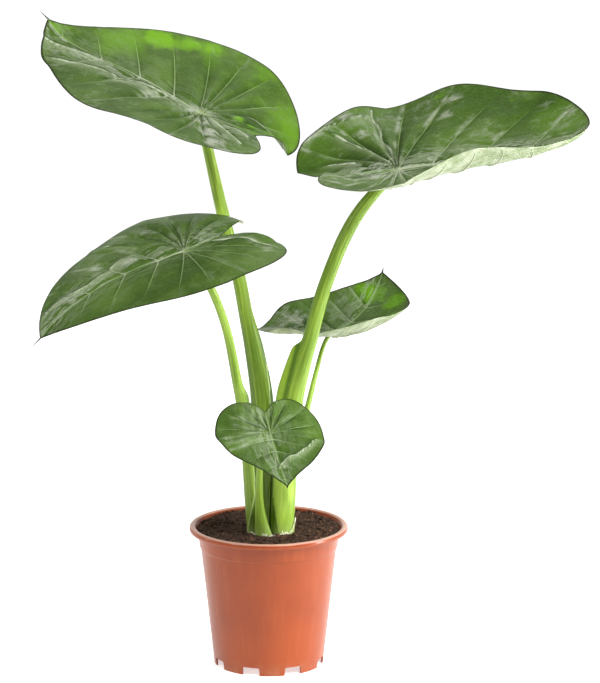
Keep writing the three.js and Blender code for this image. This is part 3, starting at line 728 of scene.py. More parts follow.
# %% The flat outline
def outline_at(leaf, full, rows):
    """Points of half the flat outline: row 0 is the drip tip, the last row is the notch."""
    tip, half, lobe, notch, tail = (leaf[k] for k in ("tip", "half", "lobe", "notch", "tail"))
    widest, lobe_end = -0.02 * tip, 0.45 * half
    spans = np.array([
        [(tip, 0), ((0.74 + 0.2 * full) * tip, (0.3 + full) * half), (widest + 0.42 * tip, half),
         (widest, half)],
        [(widest, half), (widest - 0.33 * lobe, half), (-lobe, lobe_end + 0.36 * half),
         (-lobe, lobe_end)],
        [(-lobe, lobe_end), (-lobe, lobe_end - 0.24 * half),
         (-notch - 0.3 * (lobe - notch), 0.1 * half), (-notch, 0)]])
    first = np.cumsum([1, *leaf["rows"]])
    span = np.clip(np.searchsorted(first, rows, side="left") - 1, 0, 2)
    t = np.clip((rows - first[span]) / np.array(leaf["rows"])[span], 0, 1)[:, None]
    p = spans[span]
    s = 1 - t
    edge_points = (s ** 3 * p[:, 0] + 3 * s * s * t * p[:, 1] + 3 * s * t * t * p[:, 2]
                   + t ** 3 * p[:, 3])
    near_tip = rows < 2
    edge_points[near_tip, 1] = np.maximum(edge_points[near_tip, 1], 1.1)
    tail_end = np.clip(1 - rows, 0, 1)
    edge_points[:, 0] += tail * tail_end
    edge_points[:, 1] *= 1 - tail_end
    return edge_points


def flat_points(leaf, side, rows, shares):
    """Where the points of a grid lie on the flat leaf, and how far each row reaches."""
    margin = outline_at(leaf, half_of(leaf, side)["full"], rows)
    start = np.clip(1 - (rows - 1) / midrib_rows(leaf), 0, 1) ** BLADE["crowding"] * leaf["tip"]
    origin = start + leaf["tail"] * np.clip(1 - rows, 0, 1)
    reach = np.hypot(margin[:, 0] - origin, margin[:, 1])
    curve = BLADE["vein_arch"] * np.minimum(1, (1 - start / leaf["tip"]) * 2) * reach
    t = shares[None, :]
    x = origin[:, None] + (margin[:, 0] - origin)[:, None] * t + curve[:, None] * t * (1 - t)
    y = margin[:, 1][:, None] * t
    return x, y, np.repeat(reach[:, None], len(shares), axis=1)


print("flat leaf a is", sum(LEAVES["a"][key] for key in ("lobe", "tip", "tail")), "mm long")

# %% Bending the flat leaf
def bend(leaf, side, x, y, lift):
    """Bends flat points along the midrib, folds and cups them, and adds a small height."""
    rim, rad = half_of(leaf, side), math.radians
    tip, half, lobe = leaf["tip"], leaf["half"], leaf["lobe"]
    beyond = np.maximum(x - tip, 0)
    x = np.minimum(x, tip)
    ahead = x / tip
    towards_tip = np.maximum(ahead, 0)

    def heading_at(share):
        u = towards_tip * share
        return rad(leaf["sweep"]) * u + rad(leaf["hook"]) * u ** 5

    def slope_at(share):
        u = towards_tip * share
        front = rad(leaf["curl"]) * u ** 8 - rad(leaf["arch"]) * u - rad(leaf["arch_end"]) * u ** 3
        return np.where(x >= 0, front, -rad(leaf["lobe_arch"]) * x * share / lobe)

    def onward(slope, heading):
        """One unit along a line with this slope and heading."""
        return np.stack([np.cos(slope) * np.cos(heading), np.cos(slope) * np.sin(heading),
                         np.sin(slope)], -1)

    steps = BLADE["bend_steps"]
    spine = np.zeros((*x.shape, 3))
    for i in range(steps):
        share = (i + 0.5) / steps
        spine += (x / steps)[..., None] * onward(slope_at(share), heading_at(share))
    fold = np.radians(rim["fold"] + rim["fold_end"] * towards_tip)
    cup = np.radians(rim["cup"] + rim["cup_end"] * towards_tip)
    cup = np.where(np.abs(cup) < 1e-4, 1e-4, cup)
    q = y / half
    out = (half / cup) * (np.sin(fold + cup * q) - np.sin(fold))
    up = -(half / cup) * (np.cos(fold + cup * q) - np.cos(fold))
    back = np.maximum(-x, 0) / lobe
    up = up - rim["droop"] * lobe * 0.5 * back ** 2 * np.minimum(1, y / (0.35 * half)) ** 2
    wave_turn = 2 * math.pi * x / leaf["wave_length"] + rad(rim["phase"])
    up = up + rim["wave"] * np.minimum(q, 1.2) ** 2 * np.sin(wave_turn) + lift
    for cx, cy, size, rise in leaf["dents"]:
        up = up + rise * np.exp(-((x - cx) ** 2 + (side * y - cy) ** 2) / size ** 2)
    slope, heading, twist = slope_at(1), heading_at(1), rad(leaf["twist"]) * ahead
    across = side * out * np.cos(twist) - up * np.sin(twist)
    above = side * out * np.sin(twist) + up * np.cos(twist)
    spine[..., 0] -= np.sin(heading) * across
    spine[..., 1] += np.cos(heading) * across
    spine += above[..., None] * onward(slope + math.pi / 2, heading)
    return spine + beyond[..., None] * onward(slope + rad(leaf["tail_slope"]), heading)


middle = np.array([[LEAVES["a"]["tip"] / 2]])
print("leaf a halfway along:", bend(LEAVES["a"], 1, middle, 0 * middle, 0)[0, 0].round(1), "mm")

# %% Putting the leaf in place
def put_in_place(leaf, points):
    """Turns a bent blade to its heading and carries its hub to the stalk's end."""
    yaw, pitch, roll = (math.radians(leaf[k]) for k in ("heading", "rise", "tilt"))
    forward = np.array([math.cos(yaw) * math.cos(pitch), math.sin(yaw) * math.cos(pitch),
                        math.sin(pitch)])
    level = np.array([-math.sin(yaw), math.cos(yaw), 0])
    upright = np.cross(forward, level)
    left = level * math.cos(roll) + upright * math.sin(roll)
    up = upright * math.cos(roll) - level * math.sin(roll)
    return points @ np.array([forward, left, up]) + np.array(leaf["hub"])


print("the hub of leaf a lands at", put_in_place(LEAVES["a"], np.zeros(3)), "mm")

# %% [markdown]
# The rows and columns of the fine grid aren't evenly spaced. Rows crowd together at each vein,
# where the quilt has its valleys, and columns crowd at the midrib and the margin. So detail that
# is a millimetre wide has points to stand on, and the wide fields between don't waste any.
#
# A leaf's two halves share the points on the midrib, at the hub and at the notch. Sharing them by
# number, instead of merging points that happen to be close, keeps the sheet closed.

# %% The fine grid
FINE_STEPS = (0, 0.06, 0.14, 0.26, 0.42, 0.62, 0.82, 1, 1.18, 1.38, 1.58, 1.74, 1.86, 1.94)
FINE_SHARES = np.array([0, 0.006, 0.014, 0.024, 0.038, 0.055, 0.075, 0.1, 0.13, 0.165, 0.2, 0.24,
                        0.28, 0.32, 0.36, 0.4, 0.44, 0.48, 0.52, 0.56, 0.6, 0.64, 0.68, 0.72, 0.76,
                        0.8, 0.84, 0.875, 0.905, 0.93, 0.95, 0.967, 0.981, 0.992, 1])


def fine_rows(leaf):
    last = 1 + sum(leaf["rows"])
    rows = [0, 0.3, 0.6, 0.85, 1, 1.1, 1.25, 1.45, 1.65, 1.82, 1.94]
    rows += [vein + step for vein in range(2, last, 2) for step in FINE_STEPS]
    return np.array([r for r in rows if r < last] + [last])


def grid_numbers(leaf, rows, columns):
    """The number of each grid point, left half first. Shared points have the same number."""
    hub_row = 1 + midrib_rows(leaf)
    numbers = np.arange(2 * len(rows) * columns).reshape(2, len(rows), columns)
    numbers[1, :, 0] = numbers[0, :, 0]
    numbers[:, rows >= hub_row, 0] = numbers[0, rows >= hub_row, 0][0]
    numbers[:, 0, :] = numbers[0, 0, 0]
    numbers[1, -1, :] = numbers[0, -1, :]
    return numbers


def grid_faces(numbers):
    """The faces of both halves. A corner that a face has twice is dropped."""
    faces = []
    for side, sheet in zip((1, -1), numbers):
        corners = np.stack([sheet[:-1, :-1], sheet[1:, :-1], sheet[1:, 1:], sheet[:-1, 1:]], -1)
        for face in corners.reshape(-1, 4)[:, ::-side].tolist():
            face = [n for k, n in enumerate(face) if n != face[k - 1]]
            if len(set(face)) > 2:
                faces.append(face)
    return faces


print("leaf a has", len(fine_rows(LEAVES["a"])), "rows of", len(FINE_SHARES), "points a side")

# %% [markdown]
# Relief comes next. `quilt` is the swell between two veins. `crinkle` adds the small puckers that
# make the light break up: they are largest next to the midrib and the hub, where the tissue is
# drawn together. On the upper face every vein lies in a fine groove and the midrib is a low ridge
# in a channel.

# %% Relief
def quilt(leaf, rows, shares, reach):
    """How high the blade swells up between its veins."""
    height = BLADE["pleat"] * np.minimum(leaf["half"], reach)
    between = np.abs(np.sin(math.pi * rows / 2)) ** 0.75
    return height * between[:, None] * np.sin(math.pi * shares ** 0.6)[None, :]


def crinkle(x, y, seed, rough):
    """Puckers of a leaf at flat places, about a millimetre high. rough says how deep they are."""
    values = np.empty(x.shape)
    for index in np.ndindex(x.shape):
        px, py = x[index], y[index]
        broad = noise.noise(Vector((px / 30, py / 22, seed)))
        pucker = noise.noise(Vector((px / 24, py / 5.5, seed + 5)))
        fine = noise.noise(Vector((px / 8, py / 7, seed + 9)))
        values[index] = 1.1 * broad + rough[index] * pucker + 0.25 * fine
    return values


def vein_lean(rows, x, y):
    """Flat distance to the nearest vein, in millimetres. It is negative on the hub's side."""
    vein = np.clip(2 * np.round(rows / 2), 2, None)
    nearest = np.array([np.argmin(np.abs(rows - v)) for v in vein])
    return np.hypot(x - x[nearest], y - y[nearest]) * np.sign(vein - rows)[:, None]


print("the swell of leaf a is", round(BLADE["pleat"] * LEAVES["a"]["half"], 1), "mm high")

# %% [markdown]
# Each leaf has its own marks as well. Pale grey marks are scars and creases, and in part painted
# sheen where the folds catch the light. Bright yellow-green marks near the margin are painted light
# that shines through the blade. Both are soft round marks on the flat leaf, given by their place
# and size in millimetres, and their strength. On leaf a, a row of them makes the long scar that
# runs from the hub down one back lobe.
#
# The blades have also been folded and pressed on their way, which left sharp creases. A crease is
# a line through a few places on the flat leaf. Points near it are raised a little, and the finish
# draws it from the distance to the line: a painted highlight on its crest, painted shade on one
# side and a painted sheen on the other. Two sines bend the lines, because no real crease is
# straight.

# %% Marks on the leaves
PALE = {
    "a": ((0, 0, 22, 0.7), (-17, 28, 15, 1), (-40, 53, 17, 1), (-62, 82, 18, 1),
          (-82, 110, 18, 0.9), (110, 26, 18, 0.5), (80, 20, 14, 0.5), (55, 30, 16, 0.7),
          (36, 6, 14, 0.6), (190, 20, 14, 0.5)),
    "b": ((0, 0, 16, 0.6), (66, 120, 10, 0.9), (60, 95, 9, 0.8), (-90, 110, 13, 0.9),
          (-70, 124, 11, 0.9), (-50, 126, 12, 0.9), (-22, 116, 12, 0.6), (-35, 85, 14, 0.5),
          (-60, -28, 16, 0.6), (-30, -18, 16, 0.7), (-85, -60, 25, 0.5), (190, 66, 13, 0.6),
          (162, 80, 12, 0.6), (204, 38, 10, 0.5)),
    "c": ((0, 0, 14, 0.6), (100, -30, 15, 0.5), (145, -12, 14, 0.6), (16, -62, 13, 0.5),
          (64, -12, 15, 0.6), (170, 5, 13, 0.5), (-75, 34, 15, 0.6), (-78, 68, 13, 0.5)),
    "d": ((0, 0, 10, 0.5), (10, 62, 27, 0.85), (-30, 60, 30, 0.85), (-70, 24, 24, 0.8),
          (85, 34, 12, 0.4), (125, 2, 9, 0.4)),
    "e": ((0, 0, 6, 0.5), (-19, -38, 13, 0.4), (20, -34, 12, 0.4), (10, -50, 11, 0.3),
          (67, 5, 6, 0.7)),
}
LIT_THROUGH = {
    "a": ((-42, -18, 9, 1), (-60, -18, 9, 1), (-80, -26, 10, 1), (-92, -48, 10, 1),
          (110, -84, 30, 1), (84, -98, 28, 0.9), (55, -118, 26, 0.7), (17, -124, 20, 0.6),
          (-37, -104, 20, 0.5), (190, 46, 7, 0.8), (176, 62, 7, 0.8), (160, 76, 7, 0.8)),
    "b": ((52, 132, 12, 0.7), (125, 108, 12, 0.7), (-60, 138, 8, 0.6)),
    "d": ((118, 6, 32, 0.75), (104, -34, 28, 0.8), (60, -52, 20, 0.7), (76, 52, 14, 0.6)),
}
CREASES = {
    "a": (((215, 20), (187, 12), (141, 4)), ((188, 34), (140, 26), (85, 20), (35, 2)),
          ((110, 34), (43, 12)), ((-20, 2), (-45, 6), (-75, 22)), ((-18, 10), (-45, 26), (-81, 52)),
          ((-101, -38), (-69, -34), (-45, -32))),
    "b": (((-100, 92), (-72, 118), (-30, 120)), ((-78, 112), (-42, 60), (-8, 12)),
          ((-20, 136), (-10, 56), (-2, 14)), ((-76, 48), (-48, 26))),
    "c": (((82, -100), (46, -40)), ((178, -22), (116, -12), (50, -24)),
          ((-84, 58), (-70, 34), (-28, 2))),
    "e": (((63, 2), (41, 28), (13, 54)),),
}
print("marks on leaf a:", len(PALE["a"]), "pale and", len(LIT_THROUGH["a"]), "lime")

# %% Distances to the marks
CREASE_HEIGHT, CREASE_WIDTH, CREASE_SHADE, NO_CREASE = 1.6, 4, 6, 60.0


def crease_gap(lines, x, y):
    """Distance from flat places to the nearest crease, and 1 or -1 for the side of it."""
    x, y = x + 1.5 * np.sin(y / 8), y + 1.5 * np.sin(x / 11 + 1)
    gap, side = np.full(x.shape, NO_CREASE), np.ones(x.shape)
    for line in lines:
        for (ax, ay), (bx, by) in zip(line, line[1:]):
            ux, uy = bx - ax, by - ay
            share = np.clip(((x - ax) * ux + (y - ay) * uy) / (ux * ux + uy * uy), 0, 1)
            dx, dy = x - ax - share * ux, y - ay - share * uy
            near = np.hypot(dx, dy) < gap
            side = np.where(near, np.sign(ux * dy - uy * dx), side)
            gap = np.where(near, np.hypot(dx, dy), gap)
    return gap, side


def spots(places, x, y):
    """How strongly the nearest soft round mark shows at flat places."""
    shade = np.zeros(x.shape)
    for px, py, size, strength in places:
        shade = np.maximum(shade, strength * np.exp(-((x - px) ** 2 + (y - py) ** 2) / size ** 2))
    return shade


print("a crease is", CREASE_HEIGHT, "mm high and fades out over", CREASE_WIDTH, "mm")

# %% [markdown]
# All of this comes together in the sheet, the middle surface of a blade. Next to its points, it
# keeps what the finish needs to know at each of them.

# %% The sheet of a leaf
def half_sheet(name, leaf, side, rows, shares):
    """The bent points of one half of a blade, with the marks that its finish reads."""
    rim = half_of(leaf, side)
    x, y, reach = flat_points(leaf, side, rows, shares)
    margin_gap = (1 - shares) * reach
    # pale marks: scars, and painted sheen; bright yellow-green marks: painted light through the
    # blade
    dry = spots(PALE[name], x, side * y)
    near = np.exp(-(y / 26) ** 2) + 0.6 * np.exp(-(x * x + y * y) / 2600)
    rough = 0.25 + (0.45 + rim["sheen"]) * near + 1.1 * dry
    fade = np.clip(y / 12, 0, 1) * np.clip(margin_gap / 20, 0.25, 1)
    puckers = crinkle(x, side * y, 11 + ord(name), rough) * np.clip(0.25 + fade, 0, 1)
    fold, turned_to = crease_gap(CREASES.get(name, ()), x, side * y)
    lift = rim["swell"] * quilt(leaf, rows, shares, reach) + puckers
    lift = lift + CREASE_HEIGHT * np.exp(-(fold / CREASE_WIDTH) ** 2)
    page = np.full(x.shape, 40.0 * ord(name))
    across = np.broadcast_to(6 * rows[:, None], x.shape)
    marks = dict(
        lean=vein_lean(rows, x, y), midrib_gap=y, margin_gap=margin_gap, dry=dry,
        lime=spots(LIT_THROUGH.get(name, ()), x, side * y), fold=fold,
        tilt=turned_to * np.exp(-fold / CREASE_SHADE),
        taper=(1 - shares) * (1 - 0.6 * np.clip(x / leaf["tip"], 0, 1)),
        glow=np.full(x.shape, rim["glow"]), sheen=np.full(x.shape, rim["sheen"]),
        flat=np.stack([x, side * y, page], -1) * MM,
        grain=np.stack([across, 0.16 * shares * reach, side * page], -1) * MM)
    return put_in_place(leaf, bend(leaf, side, x, y, lift)), marks


sample = half_sheet("e", LEAVES["e"], 1, fine_rows(LEAVES["e"]), FINE_SHARES)
print("half of leaf e is a grid of", sample[0].shape[:2], "points with", len(sample[1]), "marks")

# %% The whole sheet
def leaf_sheet(name, leaf):
    """The middle surface of a blade as points, faces, marks, and the paths of its ribs."""
    rows, shares = fine_rows(leaf), FINE_SHARES
    numbers = grid_numbers(leaf, rows, len(shares))
    points, marks = np.zeros((numbers.size, 3)), {}
    for side, sheet in zip((1, -1), numbers):
        points[sheet], values = half_sheet(name, leaf, side, rows, shares)
        for key, value in values.items():
            marks.setdefault(key, np.zeros((numbers.size, *value.shape[2:])))[sheet] = value
    faces = grid_faces(numbers)
    used, order = np.unique(np.concatenate(faces), return_inverse=True)
    cuts = np.cumsum([len(face) for face in faces])[:-1]
    faces = [part.tolist() for part in np.split(order, cuts)]
    midrib = numbers[0, (rows >= 1) & (rows <= 1 + midrib_rows(leaf)), 0][::-1]
    veins = [numbers[half, np.flatnonzero(rows == v)[0], 2:-4]
             for half in (0, 1) for v in range(4, int(rows[-1]), 2)]
    return dict(points=points[used], faces=faces, normals=point_normals(points[used], faces),
                marks={key: value[used] for key, value in marks.items()},
                paths=[np.searchsorted(used, path) for path in (midrib, *veins)])


def point_normals(points, faces):
    """The direction that the sheet faces at each of its points."""
    normals = np.zeros_like(points)
    for size in (3, 4):
        group = np.array([face for face in faces if len(face) == size])
        if len(group):
            cross = np.cross(points[group[:, 2]] - points[group[:, 0]],
                             points[group[:, -1]] - points[group[:, 1]])
            for k in range(size):
                np.add.at(normals, group[:, k], cross)
    return normals / np.linalg.norm(normals, axis=1, keepdims=True)


SHEETS = {name: leaf_sheet(name, leaf) for name, leaf in LEAVES.items()}
print("points in the sheets:", {name: len(sheet["points"]) for name, sheet in SHEETS.items()})

# %% [markdown]
# ## What a leaf looks like
#
# The upper face is a glossy mid green with a faint grey bloom along the midrib and round the hub,
# where the veins meet in a pale star; the bloom is painted sheen on a waxy surface. Where light
# shines through the blade, the fields between the veins are painted yellow green. The underside
# is a matt, pale grey green.
#
# The pattern has to follow the leaf, and each leaf is bent in its own way, so the finish reads
# values that the mesh keeps at its points: the distance to the nearest vein, to the midrib, to
# the margin and to the nearest crease, and the place on the flat leaf. Lines drawn from a distance
# stay sharp at any size, which a painted picture wouldn't.

# %% Net of small veins
NET_SCALE = 170


def vein_net(make, flat, scale):
    """The fine net of small veins, 1 on a line and 0 between lines."""
    bent = make.noise(flat, 60, 2, output="Color")
    bent = make.vector_maths("MULTIPLY_ADD", bent, (0.006, 0.006, 0.0), flat)
    cells = make.node("ShaderNodeTexVoronoi", {"feature": "DISTANCE_TO_EDGE"},
                      {"Vector": bent, "Scale": scale}, "Distance")
    return 1 - cells.eased(0.0, 0.09)


print("the net's lines are about", round(1000 / NET_SCALE), "mm apart")

# %% Upper face
def leaf_upper():
    make = Finish("leaf_upper")
    flat, grain = make.attribute("flat", "Vector"), make.attribute("grain", "Vector")
    lean, midrib, margin, taper, glow, sheen, dry, lime, fold, tilt = map(make.attribute, (
        "lean", "midrib_gap", "margin_gap", "taper", "glow", "sheen", "dry", "lime", "fold",
        "tilt"))
    broad, mottle = make.noise(flat, 16, 3), make.noise(flat, 90, 4, 0.6)
    patches = make.noise(flat, 15, 4, 0.6)
    streak = make.noise(make.stretched(flat, (0.3, 1.6, 1)), 75, 3, 0.6)
    fibre = make.noise(grain, 260, 3, 0.6)
    net = vein_net(make, flat, NET_SCALE)

    # Painted light through the blade: yellow green where it shines through
    field = margin.eased(0.5, 5.0) * (1 - margin.eased(20.0, 75.0))
    lit = (lime + (patches - 0.5) * 1.1 + (mottle - 0.5) * 0.5).eased(0.35, 0.9)
    lit = (field * glow * (0.1 + 0.5 * patches.eased(0.4, 0.6))).at_least(lit)

    # Veins, with painted shade on the tip side of each
    shade = lean.eased(0.3, 1.4) * (1 - lean.eased(2.0, 7.0)) * taper.eased(0.15, 0.5)
    line = 1 - (lean.size() / (0.3 + taper * 0.6)).eased(0.5, 1.6)
    ridge = 1 - (midrib / (0.35 + taper * 1.1)).eased(0.6, 1.5)

    # Painted sheen with a waxy bloom: pale streaks beside the veins, mottled patches, lines along
    # the midrib
    back = lean * -1
    flank_highlight = back.eased(0.2, 1.6) * (1 - back.eased(2.5, 8.0)) * fibre.eased(0.4, 0.62)
    flank_highlight = flank_highlight * broad.eased(0.38, 0.58)
    # pale lines along the midrib are a painted highlight, and the dark lines beside them painted
    # shade
    crease = 1 - (streak - 0.52).size().eased(0.0, 0.05)
    furrow_shade = 1 - (streak - 0.42).size().eased(0.0, 0.035)
    beside = (1 - midrib.eased(3.0, 46.0)) * sheen
    # mottled patches of painted sheen
    blotch = (mottle * 0.5 + broad * 0.5).eased(0.5, 0.6) * fibre.eased(0.38, 0.6)
    sheen_and_wax = (flank_highlight * 0.8).at_least(blotch * 0.3) * sheen
    sheen_and_wax = sheen_and_wax.at_least(beside * (crease * 0.8 + streak.eased(0.42, 0.68) * 0.5))

    # Scars, whose pale marks are partly painted sheen, and creases with a painted highlight on the
    # crest
    crack = 1 - (make.noise(flat, 130, 3, 0.65) - 0.5).size().eased(0.0, 0.035)
    speck = make.noise(flat, 230, 2).eased(0.64, 0.72) * dry.eased(0.75, 0.95)
    scab_and_sheen = (dry + (streak - 0.5) * 1.6 + (fibre - 0.5) * 1.6).eased(0.25, 0.95)
    scab_and_sheen = scab_and_sheen * dry.eased(0.05, 0.3) * (0.3 + dry * 0.65)
    crest = (1 - fold.eased(0.5, 1.7)) * (0.35 + 0.5 * mottle.eased(0.35, 0.6))

    paint = make.painted(
        "#3a531b",
        (broad.eased(0.3, 0.7), "#526d2a"),
        (mottle.eased(0.45, 0.8) * 0.4, "#5b7a3a"),
        ((1 - patches.eased(0.32, 0.5)) * 0.5, "#2f4715"),
        (lit, "#6a9e0e"),
        (net * 0.1, "#7d9c55"),
        (shade * 0.45, "#263d13"),
        (line * taper.eased(0.04, 0.4) * 0.65, "#93ae6e"),
        (ridge * 0.5, "#93ad70"),
        # painted shade in dark lines beside the midrib, then the painted sheen
        (beside * furrow_shade * 0.5, "#22360f"),
        (sheen_and_wax * 0.75, "#a9b19c"),
        (scab_and_sheen, "#b0b6a2"),
        (dry.eased(0.2, 0.8) * crack * 0.7, "#33452a"),
        # painted shade on one side of a crease, and a painted sheen on the other
        (tilt.eased(0.1, 0.8) * 0.55, "#2b4317"),
        ((tilt * -1).eased(0.1, 0.9) * 0.4, "#a3b08f"),
        (crest, "#c0c9ae"),
        (speck, "#17160f"),
        ((1 - margin.eased(1.1, 2.6)) * 0.9, "#20280f"))
    height = mottle * 0.8 + patches * 1.2 - net * 0.3 + dry * streak * 1.5 + sheen_and_wax
    return make.surface(paint, 0.4 + mottle * 0.12 + sheen_and_wax * 0.1, make.bump(height, 0.0012, 0.6),
                        0.1)


upper = leaf_upper()

# %% Underside
def leaf_under():
    make = Finish("leaf_under")
    flat = make.attribute("flat", "Vector")
    vein, taper = make.attribute("lean").size(), make.attribute("taper")
    broad = make.noise(flat, 34, 3, 0.6)
    net = vein_net(make, flat, 150)
    line = 1 - (vein / (0.6 + taper * 1.8)).eased(0.5, 1.4)
    paint = make.painted(
        "#6d7c55",
        (broad.eased(0.36, 0.62), "#979f86"),
        (net * 0.3, "#a3ac90"),
        (line * 0.5, "#b9c2a4"))
    return make.surface(paint, 0.55, make.bump(net + broad * 0.5, 0.0005, 0.5), 0.08)


under = leaf_under()

# %% [markdown]
# Under the blade, the midrib and the side veins stand out as round, tapering ribs. They follow
# lines on the surface, so a short recipe sweeps a circle along each line and scales it by a
# radius that the line carries at its points.

# %% Recipe for ribs
def rib_recipe():
    make = Recipe("leaf ribs", Sides=8)
    paths = make.geo("MeshToCurve", {0: make.given()})
    section = make.geo("CurvePrimitiveCircle", {"Resolution": make.given("Sides"), "Radius": 1.0})
    ribs = make.geo("CurveToMesh", {0: paths, 1: section, "Scale": make.mark("radius"),
                                    "Fill Caps": True})
    return make.finish(make.geo("SetShadeSmooth", {0: ribs}))


ribbing = rib_recipe()


def rib_lines(name, leaf):
    """Lines just inside the underside of a blade, with the radius of the rib at each point."""
    sheet = SHEETS[name]
    scale = leaf["tip"] / 230
    points, radii, edges = [], [], []
    for number, path in enumerate(sheet["paths"]):
        path = path[np.r_[True, np.diff(path) != 0]]
        taper = sheet["marks"]["taper"][path]
        hub = np.linalg.norm(sheet["marks"]["flat"][path, :2], axis=1) / MM / leaf["tip"]
        if number == 0:
            radius = scale * (0.45 + 2.5 * np.clip(1 - hub, 0, 1))
        else:
            radius = scale * (0.3 + 1.15 * np.clip(taper, 0, 1) ** 0.8)
        depth = BLADE["thickness"] / 2 + 0.35 * radius
        first = len(points)
        points += list(sheet["points"][path] - sheet["normals"][path] * depth[:, None])
        radii += list(radius * MM)
        edges += [(k, k + 1) for k in range(first, len(points) - 1)]
    return points, radii, edges


print("rib lines on leaf a:", len(rib_lines("a", LEAVES["a"])[0]), "points")

# %% [markdown]
# A blade is the sheet twice, above and below, joined by a strip round the margin. Solidify could
# do that, but then both faces would have the same relief. Here the grooves are only in the upper
# face. The ribs are joined to the blade in the end, so that a leaf is one piece.

# %% Blades
def open_edges(faces):
    """The edges that have a face on one side only, in the order of that face."""
    known = {(face[k - 1], face[k]) for face in faces for k in range(len(face))}
    return [(i, j) for i, j in known if (j, i) not in known]


def join(first, second):
    """Makes two objects one, with the first one's name."""
    with bpy.context.temp_override(active_object=first, object=first,
                                   selected_editable_objects=[first, second]):
        bpy.ops.object.join()
    return first


def make_leaf(name, leaf):
    """A blade with both its faces, its margin and its ribs, as one piece."""
    sheet = SHEETS[name]
    points, normals, faces, marks = (sheet[k] for k in ("points", "normals", "faces", "marks"))
    count = len(points)
    margin = np.clip(0.35 + marks["margin_gap"] / 2.5, 0, 1)
    half = (BLADE["thickness"] / 2 * margin)[:, None]
    strength = np.clip(marks["taper"], 0, 1) * np.clip(marks["margin_gap"] / 10, 0, 1)
    groove = 0.5 * strength * np.exp(-(marks["lean"] / 1.1) ** 2)
    out = marks["midrib_gap"]
    keel = strength * (0.9 * np.exp(-(out / 1.4) ** 2) - 0.7 * np.exp(-(out / 5.0) ** 2))
    top = points + normals * (half + (keel - groove)[:, None])
    bottom = points - normals * half
    both = faces + [[n + count for n in reversed(face)] for face in faces]
    strip = sorted((j, i, count + i, count + j) for i, j in open_edges(faces))
    side = [0] * len(faces) + [1] * len(faces) + [0] * len(strip)
    marks = {key: np.concatenate([value, value]) for key, value in marks.items()}
    blade = make_mesh("leaf_" + name, np.concatenate([top, bottom]), both + strip,
                      [upper, under], side, marks)
    line_points, radii, edges = rib_lines(name, leaf)
    ribs = make_mesh("ribs_" + name, line_points, [], edges=edges, marks={"radius": radii})
    ribs = grow(ribs, ribbing, under, Sides=8)
    keep(join(blade, ribs), "blade_skin", "blade_" + name)


for name, leaf in LEAVES.items():
    make_leaf(name, leaf)

# %% [markdown]
# ## The stalks
#
# Each leaf stands on a fleshy stalk, thick at the foot and thin under the blade. Its lower part
# opens into a sheath, whose thin wings once wrapped the next younger leaf. The wings run out in a
# narrow tip part of the way up.
#
# A stalk follows a path and its section changes along it, so it is a good case for Geometry
# Nodes. Curve to Mesh can only scale its profile evenly, and this section is wider than deep and
# has wings. So the recipe rolls a flat grid round the path instead: one side of the grid runs
# along the path, and the other one runs round it.

# %% The five stalks
STALKS = {
    "a": ((-4, 3, 157.3, 13, 13), (-5, 4, 235, 12.5, 12.5, 0, 2), (-9, 8, 325, 9.5, 10, 3, 5),
          (-19, 14, 385, 8.6, 8.6, 1, 4), (-27, 19, 424, 8.2, 8.2), (-35, 26, 466, 8, 8),
          (-54, 37, 541, 7.5, 7.5), (-72, 43, 621, 6.2, 6.2), (-79, 45, 652, 5.6, 5.6),
          (-82, 46, 666, 5.4, 5.4)),
    "b": ((15.5, -11, 157.3, 13, 13.5), (18, -12, 205, 14.5, 14), (22, -13, 265, 13, 13, 4, 0),
          (31.5, -14, 330, 10.5, 11, 12, 0), (40, -13, 366, 9.6, 9.6, 10, 0),
          (45.5, -12, 386, 9.2, 9.2, 8, 0), (48.5, -12, 396, 9, 9), (65, -8, 457, 8.2, 8.2),
          (91, -5, 523, 8, 8), (110, -3, 555, 7.6, 7.6), (132, -1, 581, 6.6, 6.6),
          (148, 0, 597, 6, 6), (157, 0, 605, 5.6, 5.6)),
    "c": ((-15.5, -12, 157.3, 8.5, 11), (-20, -14, 204, 8.4, 9.5), (-26, -20, 285, 7.2, 8, 0, 2),
          (-33, -30, 333, 6.2, 6.6, 0, 4), (-36, -35, 350, 5.9, 6), (-49, -60, 424, 5, 5),
          (-66, -82, 476, 4.7, 4.7), (-84, -92, 508, 4.4, 4.4), (-97, -95.5, 525, 4.2, 4.2)),
    "d": ((13.5, 5, 157.3, 6.5, 6.5), (24, 16, 225, 6, 6), (46, 40, 302, 3.4, 3.4),
          (57, 61, 343, 2.8, 2.8), (67, 84, 373, 2.5, 2.5), (76, 95.5, 386, 2.4, 2.4)),
    "e": ((-5, -24, 157.3, 11, 7), (-8.5, -28, 180, 7.5, 6.5), (-10.5, -33, 204, 5, 5),
          (-10, -50, 252, 4.1, 4.1), (-4, -73, 289, 3.5, 3.5), (3, -92, 307, 3.2, 3.2)),
}
SIZES = ("half_across", "half_deep", "wing_left", "wing_right")


